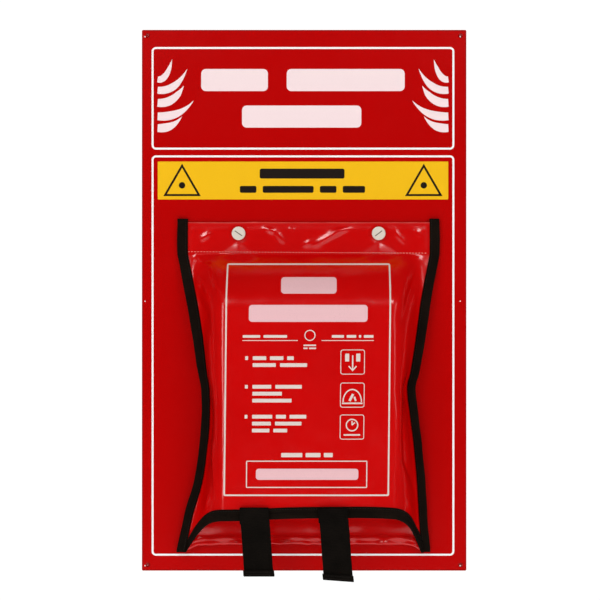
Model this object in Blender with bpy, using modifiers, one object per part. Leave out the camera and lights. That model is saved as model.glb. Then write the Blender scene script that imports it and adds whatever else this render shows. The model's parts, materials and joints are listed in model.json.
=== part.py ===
"""Fire blanket station: a printed wall board, a soft pouch hung on two stud screws, a folded blanket.

Metres, +Z up. The origin is the centre of the board's back face. The front faces -Y, so a depth d
in front of the wall is y = -d.
"""

import math

import bmesh
import bpy
from mathutils import Matrix, Vector

# Board, lying against the wall
BOARD_WIDTH = 0.360
BOARD_HEIGHT = 0.600
BOARD_THICKNESS = 0.005
BOARD_CORNER_RADIUS = 0.0015
FACE_THICKNESS = 0.0005
FACE_INSET = 0.0015
CORNER_HOLE_DIAMETER = 0.005
CORNER_HOLE_INSET = 0.0065

# Stud screws, which the pouch hangs on
STUD_SPACING = 0.155
STUD_OFFSET_X = 0.0049
STUD_HEIGHT = 0.0740
POST_DIAMETER = 0.0070
POST_BORE = 0.0046
POST_FLANGE_DIAMETER = 0.0150
POST_FLANGE_THICKNESS = 0.0014
SCREW_HEAD_DIAMETER = 0.0150
SCREW_HEAD_THICKNESS = 0.0025
SCREW_HEAD_ROUNDING = 0.0007
SCREW_SHANK_DIAMETER = 0.0040
SCREW_TIP_DEPTH = 0.0030
SLOT_LENGTH = 0.0095
SLOT_WIDTH = 0.0010
SLOT_DEPTH = 0.0011
LEFT_SLOT_ANGLE = math.radians(-34)
RIGHT_SLOT_ANGLE = math.radians(37)

# Eyelets in the pouch's header
EYELET_FLANGE_DIAMETER = 0.0130
EYELET_BORE = 0.0076
EYELET_WALL = 0.0005
EYELET_FLANGE_THICKNESS = 0.0006

# Pouch
POUCH_WIDTH = 0.2894
HEADER_HEIGHT = 0.0346
EYELET_ABOVE_HINGE_LINE = 0.0226
SEAM_LENGTH = 0.3284
FRONT_LENGTH = 0.2879
BACK_LENGTH = 0.3230
SHEET_THICKNESS = 0.0005
HEADER_FOLD_GAP = 0.0011
WAIST_ALLOWANCE = 0.0195
WAIST_DEPTH = 0.0200
CORNER_DEPTH = 0.0105
TOP_SLOPE = 0.060
FLAT_FRONT_SHARE = 0.90
SHOULDER = 0.019
FLAT_BACK_SHARE = 0.84

# Edge binding
TAPE_THICKNESS = 0.0008
SIDE_TAPE_WIDTH = 0.0090
HEM_TAPE_WIDTH = 0.0110
HEADER_TAPE_OVERHANG = 0.0039

# Folded blanket
PACK_WIDTH = 0.196
PACK_THICKNESS = 0.0475
PACK_TOP_DROP = 0.029
PACK_ABOVE_MOUTH = 0.009
PACK_FRONT_RADIUS = 0.012
PACK_BACK_RADIUS = 0.010
PACK_EDGE_ROUNDING = 0.003
PACK_SLOPE = 0.040
PACK_SLOPE_LEVELS = 6

# Pull tabs
WEBBING_WIDTH = 0.0315
WEBBING_THICKNESS = 0.0015
PATCH_WIDTH = 0.024
PATCH_HEIGHT = 0.009
PATCH_THICKNESS = 0.0008
LEFT_TAB_OFFSET = -0.0591
RIGHT_TAB_OFFSET = 0.0263
LEFT_TAB_LENGTH = 0.0750
RIGHT_TAB_LENGTH = 0.0790
TAB_LEAN = math.radians(4.2)
TAB_END_HEIGHT = 0.0075
TAB_END_THICKNESS = 0.0036
TAB_FOLD_RISE = 0.0027
UTURN_DROP = 0.0050

# Clearances
GAP = 0.0003
SPLIT_GAP = 0.0009
PANEL_GAP = 0.0004
WALL_GAP = 0.0005
MOUTH_CLEARANCE = 0.0025
PACK_TOP_CLEARANCE = 0.004
FIN_FLAT = 0.0006
HOLE_CLEARANCE = 0.0003
CORNER_SPREAD = 0.0120
COUNTERBORE_CLEARANCE = 0.0005

# Side seams: fraction of the way down the pouch, and flare (0 hugs the blanket, 1 is the full width)
LEFT_FLARE = [
    (0.0, 1.0), (0.16, 0.61), (0.28, 0.36), (0.40, 0.155), (0.46, 0.035),
    (0.57, 0.035), (0.64, 0.114), (0.76, 0.327), (0.88, 0.743), (1.0, 1.05),
]
RIGHT_FLARE = [
    (0.0, 1.0), (0.16, 0.62), (0.28, 0.41), (0.40, 0.16), (0.45, 0.02),
    (0.56, 0.16), (0.64, 0.283), (0.76, 0.415), (0.88, 0.507), (1.0, 0.636),
]
# Side seams: fraction of the way down, and share of the waist's depth
SEAM_RISE = [(0.0, 0.0), (0.16, 0.6), (0.40, 1.0), (0.57, 1.0), (0.76, 0.65), (0.88, 0.30), (1.0, 0.0)]

PANEL_ROWS = 18
ROW_CROWDING = 1.3
BEND_COLUMNS = 9
FLAT_COLUMNS = 6
CORNER_DROP_POWER = 2.5
ARC_STEPS = 5
ROUND_STEPS = 32
CUTTER_LENGTH = 0.060

# Depths of the layers, from the wall outwards
FACE_BACK = BOARD_THICKNESS + GAP
FACE_FRONT = FACE_BACK + FACE_THICKNESS
HEADER_TAPE_BACK = FACE_FRONT + GAP
HEADER_BACK = HEADER_TAPE_BACK + TAPE_THICKNESS + GAP
HEADER_FRONT = HEADER_BACK + HEADER_FOLD_GAP + 2 * SHEET_THICKNESS
HEADER_MIDDLE = (HEADER_BACK + HEADER_FRONT) / 2
HEADER_TAPE_FRONT = HEADER_FRONT + GAP + TAPE_THICKNESS
EDGE_INSET = TAPE_THICKNESS + PANEL_GAP
PANEL_OFFSET = (SHEET_THICKNESS + PANEL_GAP) / 2
SIDE_TAPE_OFFSET = PANEL_OFFSET + SHEET_THICKNESS / 2 + GAP + TAPE_THICKNESS / 2
HEM_TAPE_OFFSET = SHEET_THICKNESS / 2 + GAP + TAPE_THICKNESS / 2
BACK_PANEL_DEPTH = FACE_FRONT + WALL_GAP + SHEET_THICKNESS / 2
PACK_BACK_DEPTH = BACK_PANEL_DEPTH + SHEET_THICKNESS / 2 + 4 * GAP
PACK_FRONT_DEPTH = PACK_BACK_DEPTH + PACK_THICKNESS
FRONT_PANEL_DEPTH = PACK_FRONT_DEPTH + MOUTH_CLEARANCE
HEM_FRONT = FRONT_PANEL_DEPTH + HEM_TAPE_OFFSET + TAPE_THICKNESS / 2
LOOP_PATCH_BACK = HEM_FRONT + GAP
HOOK_PATCH_BACK = LOOP_PATCH_BACK + PATCH_THICKNESS + GAP
UP_LEG_DEPTH = HOOK_PATCH_BACK + PATCH_THICKNESS + GAP + WEBBING_THICKNESS / 2
HANGING_DEPTH = UP_LEG_DEPTH + WEBBING_THICKNESS + GAP
INNER_LEG_DEPTH = PACK_FRONT_DEPTH - 2 * WEBBING_THICKNESS

# Heights
HINGE_LINE_HEIGHT = STUD_HEIGHT - EYELET_ABOVE_HINGE_LINE
POUCH_TOP = HINGE_LINE_HEIGHT - SPLIT_GAP / 2
MOUTH_HEIGHT = POUCH_TOP - FRONT_LENGTH
HEADER_BOTTOM = HINGE_LINE_HEIGHT + SPLIT_GAP / 2
HEADER_TOP = HEADER_BOTTOM + HEADER_HEIGHT
PACK_TOP = POUCH_TOP - PACK_TOP_DROP
PACK_BOTTOM = MOUTH_HEIGHT + PACK_ABOVE_MOUTH
HEM_BOTTOM = MOUTH_HEIGHT - GAP - TAPE_THICKNESS
TAB_FOLD_HEIGHT = MOUTH_HEIGHT + HEM_TAPE_WIDTH
TAB_TOP = TAB_FOLD_HEIGHT + TAB_FOLD_RISE / 2
PATCH_BOTTOM = HEM_BOTTOM + GAP

COLLECTION = "fire_blanket_station"


def clear_scene():
    for obj in list(bpy.data.objects):
        bpy.data.objects.remove(obj, do_unlink=True)


def new_collection(name, hidden=False):
    collection = bpy.data.collections.new(name)
    collection.hide_render = hidden
    bpy.context.scene.collection.children.link(collection)
    return collection


def new_material(name, colour, roughness, metallic=0.0):
    material = bpy.data.materials.new(name)
    material.use_nodes = True
    shader = material.node_tree.nodes["Principled BSDF"]
    shader.inputs["Base Color"].default_value = (*colour, 1.0)
    shader.inputs["Roughness"].default_value = roughness
    shader.inputs["Metallic"].default_value = metallic
    return material


def add_object(name, mesh, collection, material=None):
    obj = bpy.data.objects.new(name, mesh)
    collection.objects.link(obj)
    if material is not None:
        mesh.materials.append(material)
    return obj


def mesh_from(name, shape):
    """Turns a bmesh into a mesh with its faces pointing outwards."""
    bmesh.ops.recalc_face_normals(shape, faces=shape.faces)
    mesh = bpy.data.meshes.new(name)
    shape.to_mesh(mesh)
    shape.free()
    return mesh


def box_shape(x_range, depth_range, z_range):
    low = Vector((x_range[0], -depth_range[1], z_range[0]))
    high = Vector((x_range[1], -depth_range[0], z_range[1]))
    shape = bmesh.new()
    bmesh.ops.create_cube(shape, size=1.0)
    bmesh.ops.scale(shape, vec=high - low, verts=shape.verts)
    bmesh.ops.translate(shape, vec=(low + high) / 2, verts=shape.verts)
    return shape


def plate(name, x_range, depth_range, z_range, radius, collection, material):
    """A flat plate whose four corners, seen from the front, are rounded."""
    shape = box_shape(x_range, depth_range, z_range)
    upright = [edge for edge in shape.edges if abs((edge.verts[0].co - edge.verts[1].co).y) > 1e-6]
    bmesh.ops.bevel(shape, geom=upright, offset=radius, segments=3, profile=0.5, affect="EDGES")
    return add_object(name, mesh_from(name, shape), collection, material)


def round_cutter(name, diameter, centres, depth_range):
    """Cylinders along Y, one at each (x, z) centre."""
    length = depth_range[1] - depth_range[0]
    middle = (depth_range[0] + depth_range[1]) / 2
    shape = bmesh.new()
    for x, z in centres:
        place = Matrix.Translation((x, -middle, z)) @ Matrix.Rotation(math.pi / 2, 4, "X")
        bmesh.ops.create_cone(
            shape, cap_ends=True, segments=ROUND_STEPS, radius1=diameter / 2,
            radius2=diameter / 2, depth=length, matrix=place,
        )
    cutter = add_object(name, mesh_from(name, shape), cutters)
    hide_cutter(cutter)
    return cutter


def hide_cutter(cutter):
    cutter.hide_render = True
    cutter.display_type = "WIRE"


def cut(obj, cutter):
    boolean = obj.modifiers.new(cutter.name, "BOOLEAN")
    boolean.operation = "DIFFERENCE"
    boolean.solver = "EXACT"
    boolean.object = cutter


def turned(name, profile, centre, collection, material, closed=False):
    """A profile of (radius, depth) turned about an axis that points out of the wall at centre (x, z)."""
    points = [(radius, 0.0, depth) for radius, depth in profile]
    edges = [(index, index + 1) for index in range(len(points) - 1)]
    if closed:
        edges.append((len(points) - 1, 0))
    mesh = bpy.data.meshes.new(name)
    mesh.from_pydata(points, edges, [])
    obj = add_object(name, mesh, collection, material)
    obj.rotation_euler = (math.pi / 2, 0.0, 0.0)
    obj.location = (centre[0], 0.0, centre[1])
    screw = obj.modifiers.new("turn", "SCREW")
    screw.axis = "Z"
    screw.steps = ROUND_STEPS
    screw.render_steps = ROUND_STEPS
    screw.use_merge_vertices = True
    screw.merge_threshold = 0.00001
    screw.use_smooth_shade = True
    return obj


def arc(centre, radius, start, end, steps=ARC_STEPS):
    """Points on an arc between two angles in degrees, both ends included."""
    points = []
    for index in range(steps + 1):
        angle = math.radians(start + (end - start) * index / steps)
        points.append((centre[0] + radius * math.cos(angle), centre[1] + radius * math.sin(angle)))
    return points


def thick_sheet(name, rows, thickness, collection, material):
    """A surface through rows of points, given a thickness centred on it."""
    shape = bmesh.new()
    grid = [[shape.verts.new(point) for point in row] for row in rows]
    for upper, lower in zip(grid, grid[1:]):
        for index in range(len(upper) - 1):
            shape.faces.new((upper[index], lower[index], lower[index + 1], upper[index + 1]))
    obj = add_object(name, mesh_from(name, shape), collection, material)
    solidify = obj.modifiers.new("thickness", "SOLIDIFY")
    solidify.thickness = thickness
    solidify.offset = 0.0
    solidify.use_even_offset = True
    obj.data.shade_smooth()
    obj.data.set_sharp_from_angle(angle=math.radians(40))
    return obj


def loft(name, rings, collection, material):
    """A closed solid through rings that have the same number of points, capped at both ends."""
    shape = bmesh.new()
    loops = [[shape.verts.new(point) for point in ring] for ring in rings]
    count = len(loops[0])
    for lower, upper in zip(loops, loops[1:]):
        for index in range(count):
            after = (index + 1) % count
            shape.faces.new((lower[index], lower[after], upper[after], upper[index]))
    shape.faces.new(loops[0])
    shape.faces.new(loops[-1])
    obj = add_object(name, mesh_from(name, shape), collection, material)
    obj.data.shade_smooth()
    obj.data.set_sharp_from_angle(angle=math.radians(40))
    return obj


def empty_at(name, location, collection, parent=None):
    empty = bpy.data.objects.new(name, None)
    empty.empty_display_size = 0.02
    collection.objects.link(empty)
    empty.location = location
    attach(empty, parent)
    return empty


def attach(obj, parent):
    """Parents an object without moving it."""
    if parent is None:
        return
    bpy.context.view_layer.update()
    obj.parent = parent
    obj.matrix_parent_inverse = parent.matrix_world.inverted()


def smooth_value(points, at):
    """A smooth curve through (position, value) points."""
    if at <= points[0][0]:
        return points[0][1]
    if at >= points[-1][0]:
        return points[-1][1]
    index = max(i for i in range(len(points) - 1) if points[i][0] <= at)
    before = points[max(index - 1, 0)]
    start, end = points[index], points[index + 1]
    after = points[min(index + 2, len(points) - 1)]
    span = end[0] - start[0]
    start_slope = (end[1] - before[1]) / (end[0] - before[0]) * span
    end_slope = (after[1] - start[1]) / (after[0] - start[0]) * span
    t = (at - start[0]) / span
    return (
        (2 * t**3 - 3 * t**2 + 1) * start[1]
        + (t**3 - 2 * t**2 + t) * start_slope
        + (3 * t**2 - 2 * t**3) * end[1]
        + (t**3 - t**2) * end_slope
    )


def bezier(points, t):
    """A cubic curve in the (x, depth) plane."""
    weights = ((1 - t) ** 3, 3 * t * (1 - t) ** 2, 3 * t**2 * (1 - t), t**3)
    x = sum(weight * point[0] for weight, point in zip(weights, points))
    depth = sum(weight * point[1] for weight, point in zip(weights, points))
    return x, depth


def seam_half_width(side, fraction):
    """Distance of the side seam's outer edge from the pouch's centre line."""
    narrow = PACK_WIDTH / 2 + WAIST_ALLOWANCE
    flare = smooth_value(LEFT_FLARE if side < 0 else RIGHT_FLARE, fraction)
    return narrow + flare * (POUCH_WIDTH / 2 - narrow)


def seam_lean(side, fraction):
    """How much longer a level line across the seam is than one square to it."""
    step = 1 / PANEL_ROWS / 4
    low, high = max(0.0, fraction - step), min(1.0, fraction + step)
    slope = (seam_half_width(side, high) - seam_half_width(side, low)) / ((high - low) * SEAM_LENGTH)
    return math.hypot(1.0, slope)


def seam_depth(fraction):
    lowest = HEADER_MIDDLE + fraction * (CORNER_DEPTH - HEADER_MIDDLE)
    return lowest + smooth_value(SEAM_RISE, fraction) * (WAIST_DEPTH - lowest)


def front_depth(height):
    """Depth of the front panel's middle at a height."""
    flat_depth = HEADER_MIDDLE + PANEL_OFFSET
    rise = math.sin(math.pi / 2 * min(1.0, (POUCH_TOP - height) / TOP_SLOPE))
    return flat_depth + rise * (FRONT_PANEL_DEPTH - flat_depth)


def seam_line(side, z):
    """The side seam at a level: its outer edge's distance from the centre line, its lean and its depth."""
    fraction = (POUCH_TOP - z) / SEAM_LENGTH
    return seam_half_width(side, fraction), seam_lean(side, fraction), seam_depth(fraction)


def panel_edge(side, z, front):
    """Where the panel's edge lies inside the side binding, as (distance from centre, depth)."""
    outer, lean, depth = seam_line(side, z)
    return outer - EDGE_INSET * lean, depth + (PANEL_OFFSET if front else -PANEL_OFFSET)


def panel_bend(side, z, front):
    """The level curve from the side binding's inner edge to the panel's flat middle."""
    outer, lean, depth = seam_line(side, z)
    edge_depth = depth + (PANEL_OFFSET if front else -PANEL_OFFSET)
    fin = outer - (SIDE_TAPE_WIDTH + FIN_FLAT) * lean
    flat_half = flat_half_width(front)
    flat_depth = front_depth(z) if front else BACK_PANEL_DEPTH
    reach = fin - flat_half
    shoulder = min(SHOULDER, 0.9 * reach) if front else 0.85 * reach
    rise = flat_depth - edge_depth
    return [
        (fin, edge_depth),
        (fin - 0.25 * reach, edge_depth + 0.05 * rise),
        (flat_half + shoulder, flat_depth),
        (flat_half, flat_depth),
    ]


def flat_half_width(front):
    return PACK_WIDTH / 2 * (FLAT_FRONT_SHARE if front else FLAT_BACK_SHARE)


def panel_row(fraction, front):
    """One row of points across the front or back panel, from the left seam to the right one."""
    seam_z = POUCH_TOP - fraction * SEAM_LENGTH
    middle_z = POUCH_TOP - fraction * (FRONT_LENGTH if front else BACK_LENGTH)
    halves = []
    for side in (-1, 1):
        points = [(*panel_edge(side, seam_z, front), seam_z)]
        for index in range(BEND_COLUMNS):
            t = index / BEND_COLUMNS
            z = middle_z + (1 - t) ** CORNER_DROP_POWER * (seam_z - middle_z)
            points.append((*bezier(panel_bend(side, z, front), t), z))
        halves.append([Vector((STUD_OFFSET_X + side * x, -depth, z)) for x, depth, z in points])
    middle_depth = front_depth(middle_z) if front else BACK_PANEL_DEPTH
    flat = []
    for index in range(FLAT_COLUMNS + 1):
        x = flat_half_width(front) * (2 * index / FLAT_COLUMNS - 1)
        flat.append(Vector((STUD_OFFSET_X + x, -middle_depth, middle_z)))
    return halves[0] + flat + halves[1][::-1]


def row_fractions():
    """Rows crowd towards the top, and one lies on the mouth binding's upper edge."""
    rows = [(index / PANEL_ROWS) ** ROW_CROWDING for index in range(PANEL_ROWS + 1)]
    return sorted(rows + [mouth_tape_fraction()])


def mouth_tape_fraction():
    return 1 - HEM_TAPE_WIDTH / FRONT_LENGTH


def side_binding_rows(side):
    rows = []
    for fraction in row_fractions():
        z = POUCH_TOP - fraction * SEAM_LENGTH
        rows.append(binding_section(side, *seam_line(side, z), SIDE_TAPE_OFFSET, z))
    return rows


def binding_section(side, outer, lean, depth, offset, z):
    """The tape's middle line, folded round a side edge."""
    fold = outer - TAPE_THICKNESS / 2 * lean
    inner = outer - SIDE_TAPE_WIDTH * lean
    line = [(inner, depth + offset), (fold, depth + offset), (fold, depth - offset), (inner, depth - offset)]
    return [Vector((STUD_OFFSET_X + side * x, -d, z)) for x, d in line]


def mouth_binding_rows():
    """The tape's middle line, folded round the front panel's lower edge, for each panel column it covers."""
    upper = panel_row(mouth_tape_fraction(), front=True)
    lower = panel_row(1.0, front=True)
    back = panel_row(1.0, front=False)
    sections = []
    for index in range(2, len(lower) - 2):
        if (back[index] - lower[index]).length < CORNER_SPREAD:
            continue
        down = (lower[index] - upper[index]).normalized()
        upper_normal = outward_normal(upper, index, down)
        lower_normal = outward_normal(lower, index, down)
        past_edge = (lower[index + 1] - lower[index - 1]).cross(lower_normal).normalized()
        if past_edge.dot(down) < 0:
            past_edge.negate()
        fold = lower[index] + past_edge * (GAP + TAPE_THICKNESS / 2)
        sections.append([
            upper[index] + upper_normal * HEM_TAPE_OFFSET,
            fold + lower_normal * HEM_TAPE_OFFSET,
            fold - lower_normal * HEM_TAPE_OFFSET,
            upper[index] - upper_normal * HEM_TAPE_OFFSET,
        ])
    return sections


def outward_normal(row, index, down):
    """The panel's normal at one point of a row, on the side away from the wall."""
    across = (row[index + 1] - row[index - 1]).normalized()
    outward = across.cross(down).normalized()
    return -outward if outward.y > 0 else outward


def rounded_ring(half_width, back, front, back_radius, front_radius, z):
    """A rounded rectangle in a level plane, centred on the pouch."""
    corners = [
        (1, -front + front_radius, front_radius, -90, 0),
        (1, -back - back_radius, back_radius, 0, 90),
        (-1, -back - back_radius, back_radius, 90, 180),
        (-1, -front + front_radius, front_radius, 180, 270),
    ]
    ring = []
    for side, y, radius, start, end in corners:
        centre = (STUD_OFFSET_X + side * (half_width - radius), y)
        for x, arc_y in arc(centre, radius, start, end):
            ring.append(Vector((x, arc_y, z)))
    return ring


def strip_rows(path, x_centre):
    """Webbing that follows a path of (depth, z) points, level from side to side."""
    half = WEBBING_WIDTH / 2
    return [[Vector((x_centre - half, -d, z)), Vector((x_centre + half, -d, z))] for d, z in path]


# ---- Board -------------------------------------------------------------------------------------


def make_board():
    half_width = BOARD_WIDTH / 2
    half_height = BOARD_HEIGHT / 2
    board = plate(
        "backing_board", (-half_width, half_width), (0.0, BOARD_THICKNESS),
        (-half_height, half_height), BOARD_CORNER_RADIUS, parts, board_material,
    )
    face = plate(
        "printed_face", (-half_width + FACE_INSET, half_width - FACE_INSET), (FACE_BACK, FACE_FRONT),
        (-half_height + FACE_INSET, half_height - FACE_INSET), BOARD_CORNER_RADIUS, parts, print_material,
    )
    hole_x = half_width - CORNER_HOLE_INSET
    hole_z = half_height - CORNER_HOLE_INSET
    corners = [(x, z) for x in (-hole_x, hole_x) for z in (-hole_z, hole_z)]
    through = (-CUTTER_LENGTH / 2, CUTTER_LENGTH / 2)
    corner_holes = round_cutter("corner_hole_cutter", CORNER_HOLE_DIAMETER, corners, through)
    post_holes = round_cutter(
        "post_hole_cutter", POST_DIAMETER + 2 * HOLE_CLEARANCE, stud_centres(), through,
    )
    counterbores = round_cutter(
        "counterbore_cutter", POST_FLANGE_DIAMETER + 2 * COUNTERBORE_CLEARANCE, stud_centres(),
        (-CUTTER_LENGTH / 2, POST_FLANGE_THICKNESS + 2 * GAP),
    )
    for cutter in (corner_holes, post_holes, counterbores):
        cut(board, cutter)
    for cutter in (corner_holes, post_holes):
        cut(face, cutter)


def stud_centres():
    half = STUD_SPACING / 2
    return [(STUD_OFFSET_X - half, STUD_HEIGHT), (STUD_OFFSET_X + half, STUD_HEIGHT)]


def make_studs():
    """A flanged post from behind, and a slotted screw in it from the front, at each stud."""
    flange_front = GAP + POST_FLANGE_THICKNESS
    post_end = HEADER_TAPE_FRONT - GAP / 2
    head_back = post_end + GAP
    head_front = head_back + SCREW_HEAD_THICKNESS
    post_profile = [
        (POST_BORE / 2, post_end),
        (POST_DIAMETER / 2, post_end),
        (POST_DIAMETER / 2, flange_front),
        (POST_FLANGE_DIAMETER / 2, flange_front),
        (POST_FLANGE_DIAMETER / 2, GAP),
        (POST_BORE / 2, GAP),
    ]
    head_radius = SCREW_HEAD_DIAMETER / 2
    rounding_centre = (head_radius - SCREW_HEAD_ROUNDING, head_front - SCREW_HEAD_ROUNDING)
    screw_profile = [(0.0, head_front)]
    screw_profile += arc(rounding_centre, SCREW_HEAD_ROUNDING, 90, 0, steps=3)
    screw_profile += [
        (head_radius, head_back),
        (SCREW_SHANK_DIAMETER / 2, head_back),
        (SCREW_SHANK_DIAMETER / 2, SCREW_TIP_DEPTH),
        (0.0, SCREW_TIP_DEPTH),
    ]
    angles = (LEFT_SLOT_ANGLE, RIGHT_SLOT_ANGLE)
    for side, centre, angle in zip(("left", "right"), stud_centres(), angles):
        turned(f"{side}_stud_post", post_profile, centre, parts, stud_material, closed=True)
        screw = turned(f"{side}_stud_screw", screw_profile, centre, parts, stud_material)
        slot = box_shape(
            (-SLOT_LENGTH / 2, SLOT_LENGTH / 2), (head_front - SLOT_DEPTH, head_front + SLOT_DEPTH),
            (-SLOT_WIDTH / 2, SLOT_WIDTH / 2),
        )
        turn = Matrix.Translation((centre[0], 0.0, centre[1])) @ Matrix.Rotation(-angle, 4, "Y")
        bmesh.ops.transform(slot, matrix=turn, verts=slot.verts)
        slot_cutter = add_object(f"{side}_slot_cutter", mesh_from(f"{side}_slot_cutter", slot), cutters)
        hide_cutter(slot_cutter)
        cut(screw, slot_cutter)


# ---- Header of the pouch, which stays on the board ----------------------------------------------


def make_header():
    """A strip folded over its top edge, with an eyelet on each stud and tape round each end."""
    half = POUCH_WIDTH / 2 - EDGE_INSET
    back = HEADER_BACK + SHEET_THICKNESS / 2
    front = HEADER_FRONT - SHEET_THICKNESS / 2
    fold_radius = (front - back) / 2
    fold = arc(((front + back) / 2, HEADER_TOP - fold_radius - SHEET_THICKNESS / 2), fold_radius, 180, 0)
    path = [(back, HEADER_BOTTOM), *fold, (front, HEADER_BOTTOM)]
    rows = [[Vector((STUD_OFFSET_X + x, -d, z)) for x in (-half, half)] for d, z in path]
    header = thick_sheet("pouch_header", rows, SHEET_THICKNESS, parts, pouch_material)
    barrel = EYELET_BORE / 2 + EYELET_WALL
    cut(header, round_cutter(
        "eyelet_hole_cutter", 2 * (barrel + HOLE_CLEARANCE), stud_centres(), (0.0, CUTTER_LENGTH / 2),
    ))
    back_flange = HEADER_BACK - GAP
    front_flange = HEADER_FRONT + GAP
    flange = EYELET_FLANGE_DIAMETER / 2
    eyelet_profile = [
        (EYELET_BORE / 2, front_flange + EYELET_FLANGE_THICKNESS),
        (flange, front_flange + EYELET_FLANGE_THICKNESS),
        (flange, front_flange),
        (barrel, front_flange),
        (barrel, back_flange),
        (flange, back_flange),
        (flange, back_flange - EYELET_FLANGE_THICKNESS),
        (EYELET_BORE / 2, back_flange - EYELET_FLANGE_THICKNESS),
    ]
    for side, centre in zip(("left", "right"), stud_centres()):
        turned(f"{side}_eyelet", eyelet_profile, centre, parts, eyelet_material, closed=True)
    tape_offset = (HEADER_TAPE_FRONT - HEADER_TAPE_BACK - TAPE_THICKNESS) / 2
    for name, side in (("left", -1), ("right", 1)):
        rows = [
            binding_section(side, POUCH_WIDTH / 2, 1.0, HEADER_MIDDLE, tape_offset, z)
            for z in (HEADER_TOP + HEADER_TAPE_OVERHANG, HEADER_BOTTOM)
        ]
        thick_sheet(f"{name}_header_binding", rows, TAPE_THICKNESS, parts, tape_material)


# ---- Pouch ---------------------------------------------------------------------------------------


def make_pouch(hinge):
    fractions = row_fractions()
    front = thick_sheet(
        "pouch_front", [panel_row(fraction, front=True) for fraction in fractions],
        SHEET_THICKNESS, parts, pouch_material,
    )
    back = thick_sheet(
        "pouch_back", [panel_row(fraction, front=False) for fraction in fractions],
        SHEET_THICKNESS, parts, pouch_material,
    )
    pieces = [front, back]
    for name, side in (("left", -1), ("right", 1)):
        pieces.append(thick_sheet(
            f"{name}_side_binding", side_binding_rows(side), TAPE_THICKNESS, parts, tape_material,
        ))
    pieces.append(thick_sheet(
        "mouth_binding", mouth_binding_rows(), TAPE_THICKNESS, parts, tape_material,
    ))
    for name, offset in (("left", LEFT_TAB_OFFSET), ("right", RIGHT_TAB_OFFSET)):
        pieces.append(patch(f"{name}_loop_patch", STUD_OFFSET_X + offset, LOOP_PATCH_BACK))
    for piece in pieces:
        attach(piece, hinge)


def patch(name, x, back):
    """One half of a hook-and-loop pair, behind a tab."""
    shape = box_shape(
        (x - PATCH_WIDTH / 2, x + PATCH_WIDTH / 2), (back, back + PATCH_THICKNESS),
        (PATCH_BOTTOM, PATCH_BOTTOM + PATCH_HEIGHT),
    )
    return add_object(name, mesh_from(name, shape), parts, patch_material)


# ---- Blanket and its pull tabs -------------------------------------------------------------------


def make_blanket(slide):
    """The folded blanket: full size up to its shoulder, then rounded to stay under the pouch's slope."""
    half = PACK_WIDTH / 2
    edge = PACK_EDGE_ROUNDING
    rounding = [(0.0, edge), (edge / 3, edge / 3), (edge, 0.0)]
    levels = [(PACK_BOTTOM + up, inset) for up, inset in rounding]
    for step in range(PACK_SLOPE_LEVELS):
        levels.append((PACK_TOP - PACK_SLOPE * (1 - step / PACK_SLOPE_LEVELS), 0.0))
    levels += [(PACK_TOP - down, inset) for down, inset in reversed(rounding)]
    rings = []
    for z, inset in levels:
        front = min(PACK_FRONT_DEPTH, front_depth(z) - PACK_TOP_CLEARANCE) - inset
        rings.append(rounded_ring(
            half - inset, PACK_BACK_DEPTH + inset, front, PACK_BACK_RADIUS, PACK_FRONT_RADIUS, z,
        ))
    attach(loft("folded_blanket", rings, parts, blanket_material), slide)


def make_tab_root(name, x, slide):
    """Webbing from the blanket's lower edge, round under the mouth binding and up in front of it."""
    middle = (INNER_LEG_DEPTH + UP_LEG_DEPTH) / 2
    reach = (UP_LEG_DEPTH - INNER_LEG_DEPTH) / 2
    path = [(INNER_LEG_DEPTH, PACK_BOTTOM - GAP)]
    for index in range(ARC_STEPS * 2 + 1):
        angle = math.pi * index / (ARC_STEPS * 2)
        drop = UTURN_DROP * math.sin(angle)
        path.append((middle - reach * math.cos(angle), HEM_BOTTOM - GAP - drop))
    path.append((UP_LEG_DEPTH, TAB_FOLD_HEIGHT))
    attach(thick_sheet(
        f"{name}_tab_root", strip_rows(path, x), WEBBING_THICKNESS, parts, tape_material,
    ), slide)
    attach(patch(f"{name}_hook_patch", x, HOOK_PATCH_BACK), slide)


def make_pull_tab(name, x, length, hinge):
    """The loose end of the webbing, with its last few millimetres folded and stitched."""
    half = WEBBING_WIDTH / 2
    thin = WEBBING_THICKNESS / 2
    thick = TAB_END_THICKNESS / 2
    levels = [
        (0.0, thin / 2),
        (thin / 2, thin),
        (length / 2, thin),
        (length - TAB_END_HEIGHT - thin, thin),
        (length - TAB_END_HEIGHT, thick),
        (length - thick / 2, thick),
        (length, thick / 2),
    ]
    rings = []
    for down, spread in levels:
        centre = x + down * math.tan(TAB_LEAN)
        corners = [(-half, -spread), (half, -spread), (half, spread), (-half, spread)]
        rings.append([Vector((centre + u, -HANGING_DEPTH + v, TAB_TOP - down)) for u, v in corners])
    attach(loft(f"{name}_pull_tab", rings, parts, tape_material), hinge)


# ---- Assembly ------------------------------------------------------------------------------------

clear_scene()
parts = new_collection(COLLECTION)
cutters = new_collection("cutters", hidden=True)

board_material = new_material("board_plastic", (0.45, 0.004, 0.003), 0.45)
print_material = new_material("printed_sheet", (0.47, 0.003, 0.003), 0.30)
pouch_material = new_material("pouch_vinyl", (0.54, 0.003, 0.003), 0.28)
tape_material = new_material("black_webbing", (0.008, 0.006, 0.005), 0.75)
patch_material = new_material("hook_and_loop", (0.010, 0.010, 0.010), 0.90)
eyelet_material = new_material("nickel", (0.66, 0.64, 0.60), 0.25, 1.0)
stud_material = new_material("stud_plastic", (0.78, 0.74, 0.66), 0.40)
blanket_material = new_material("glass_cloth", (0.82, 0.81, 0.76), 0.80)

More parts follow.
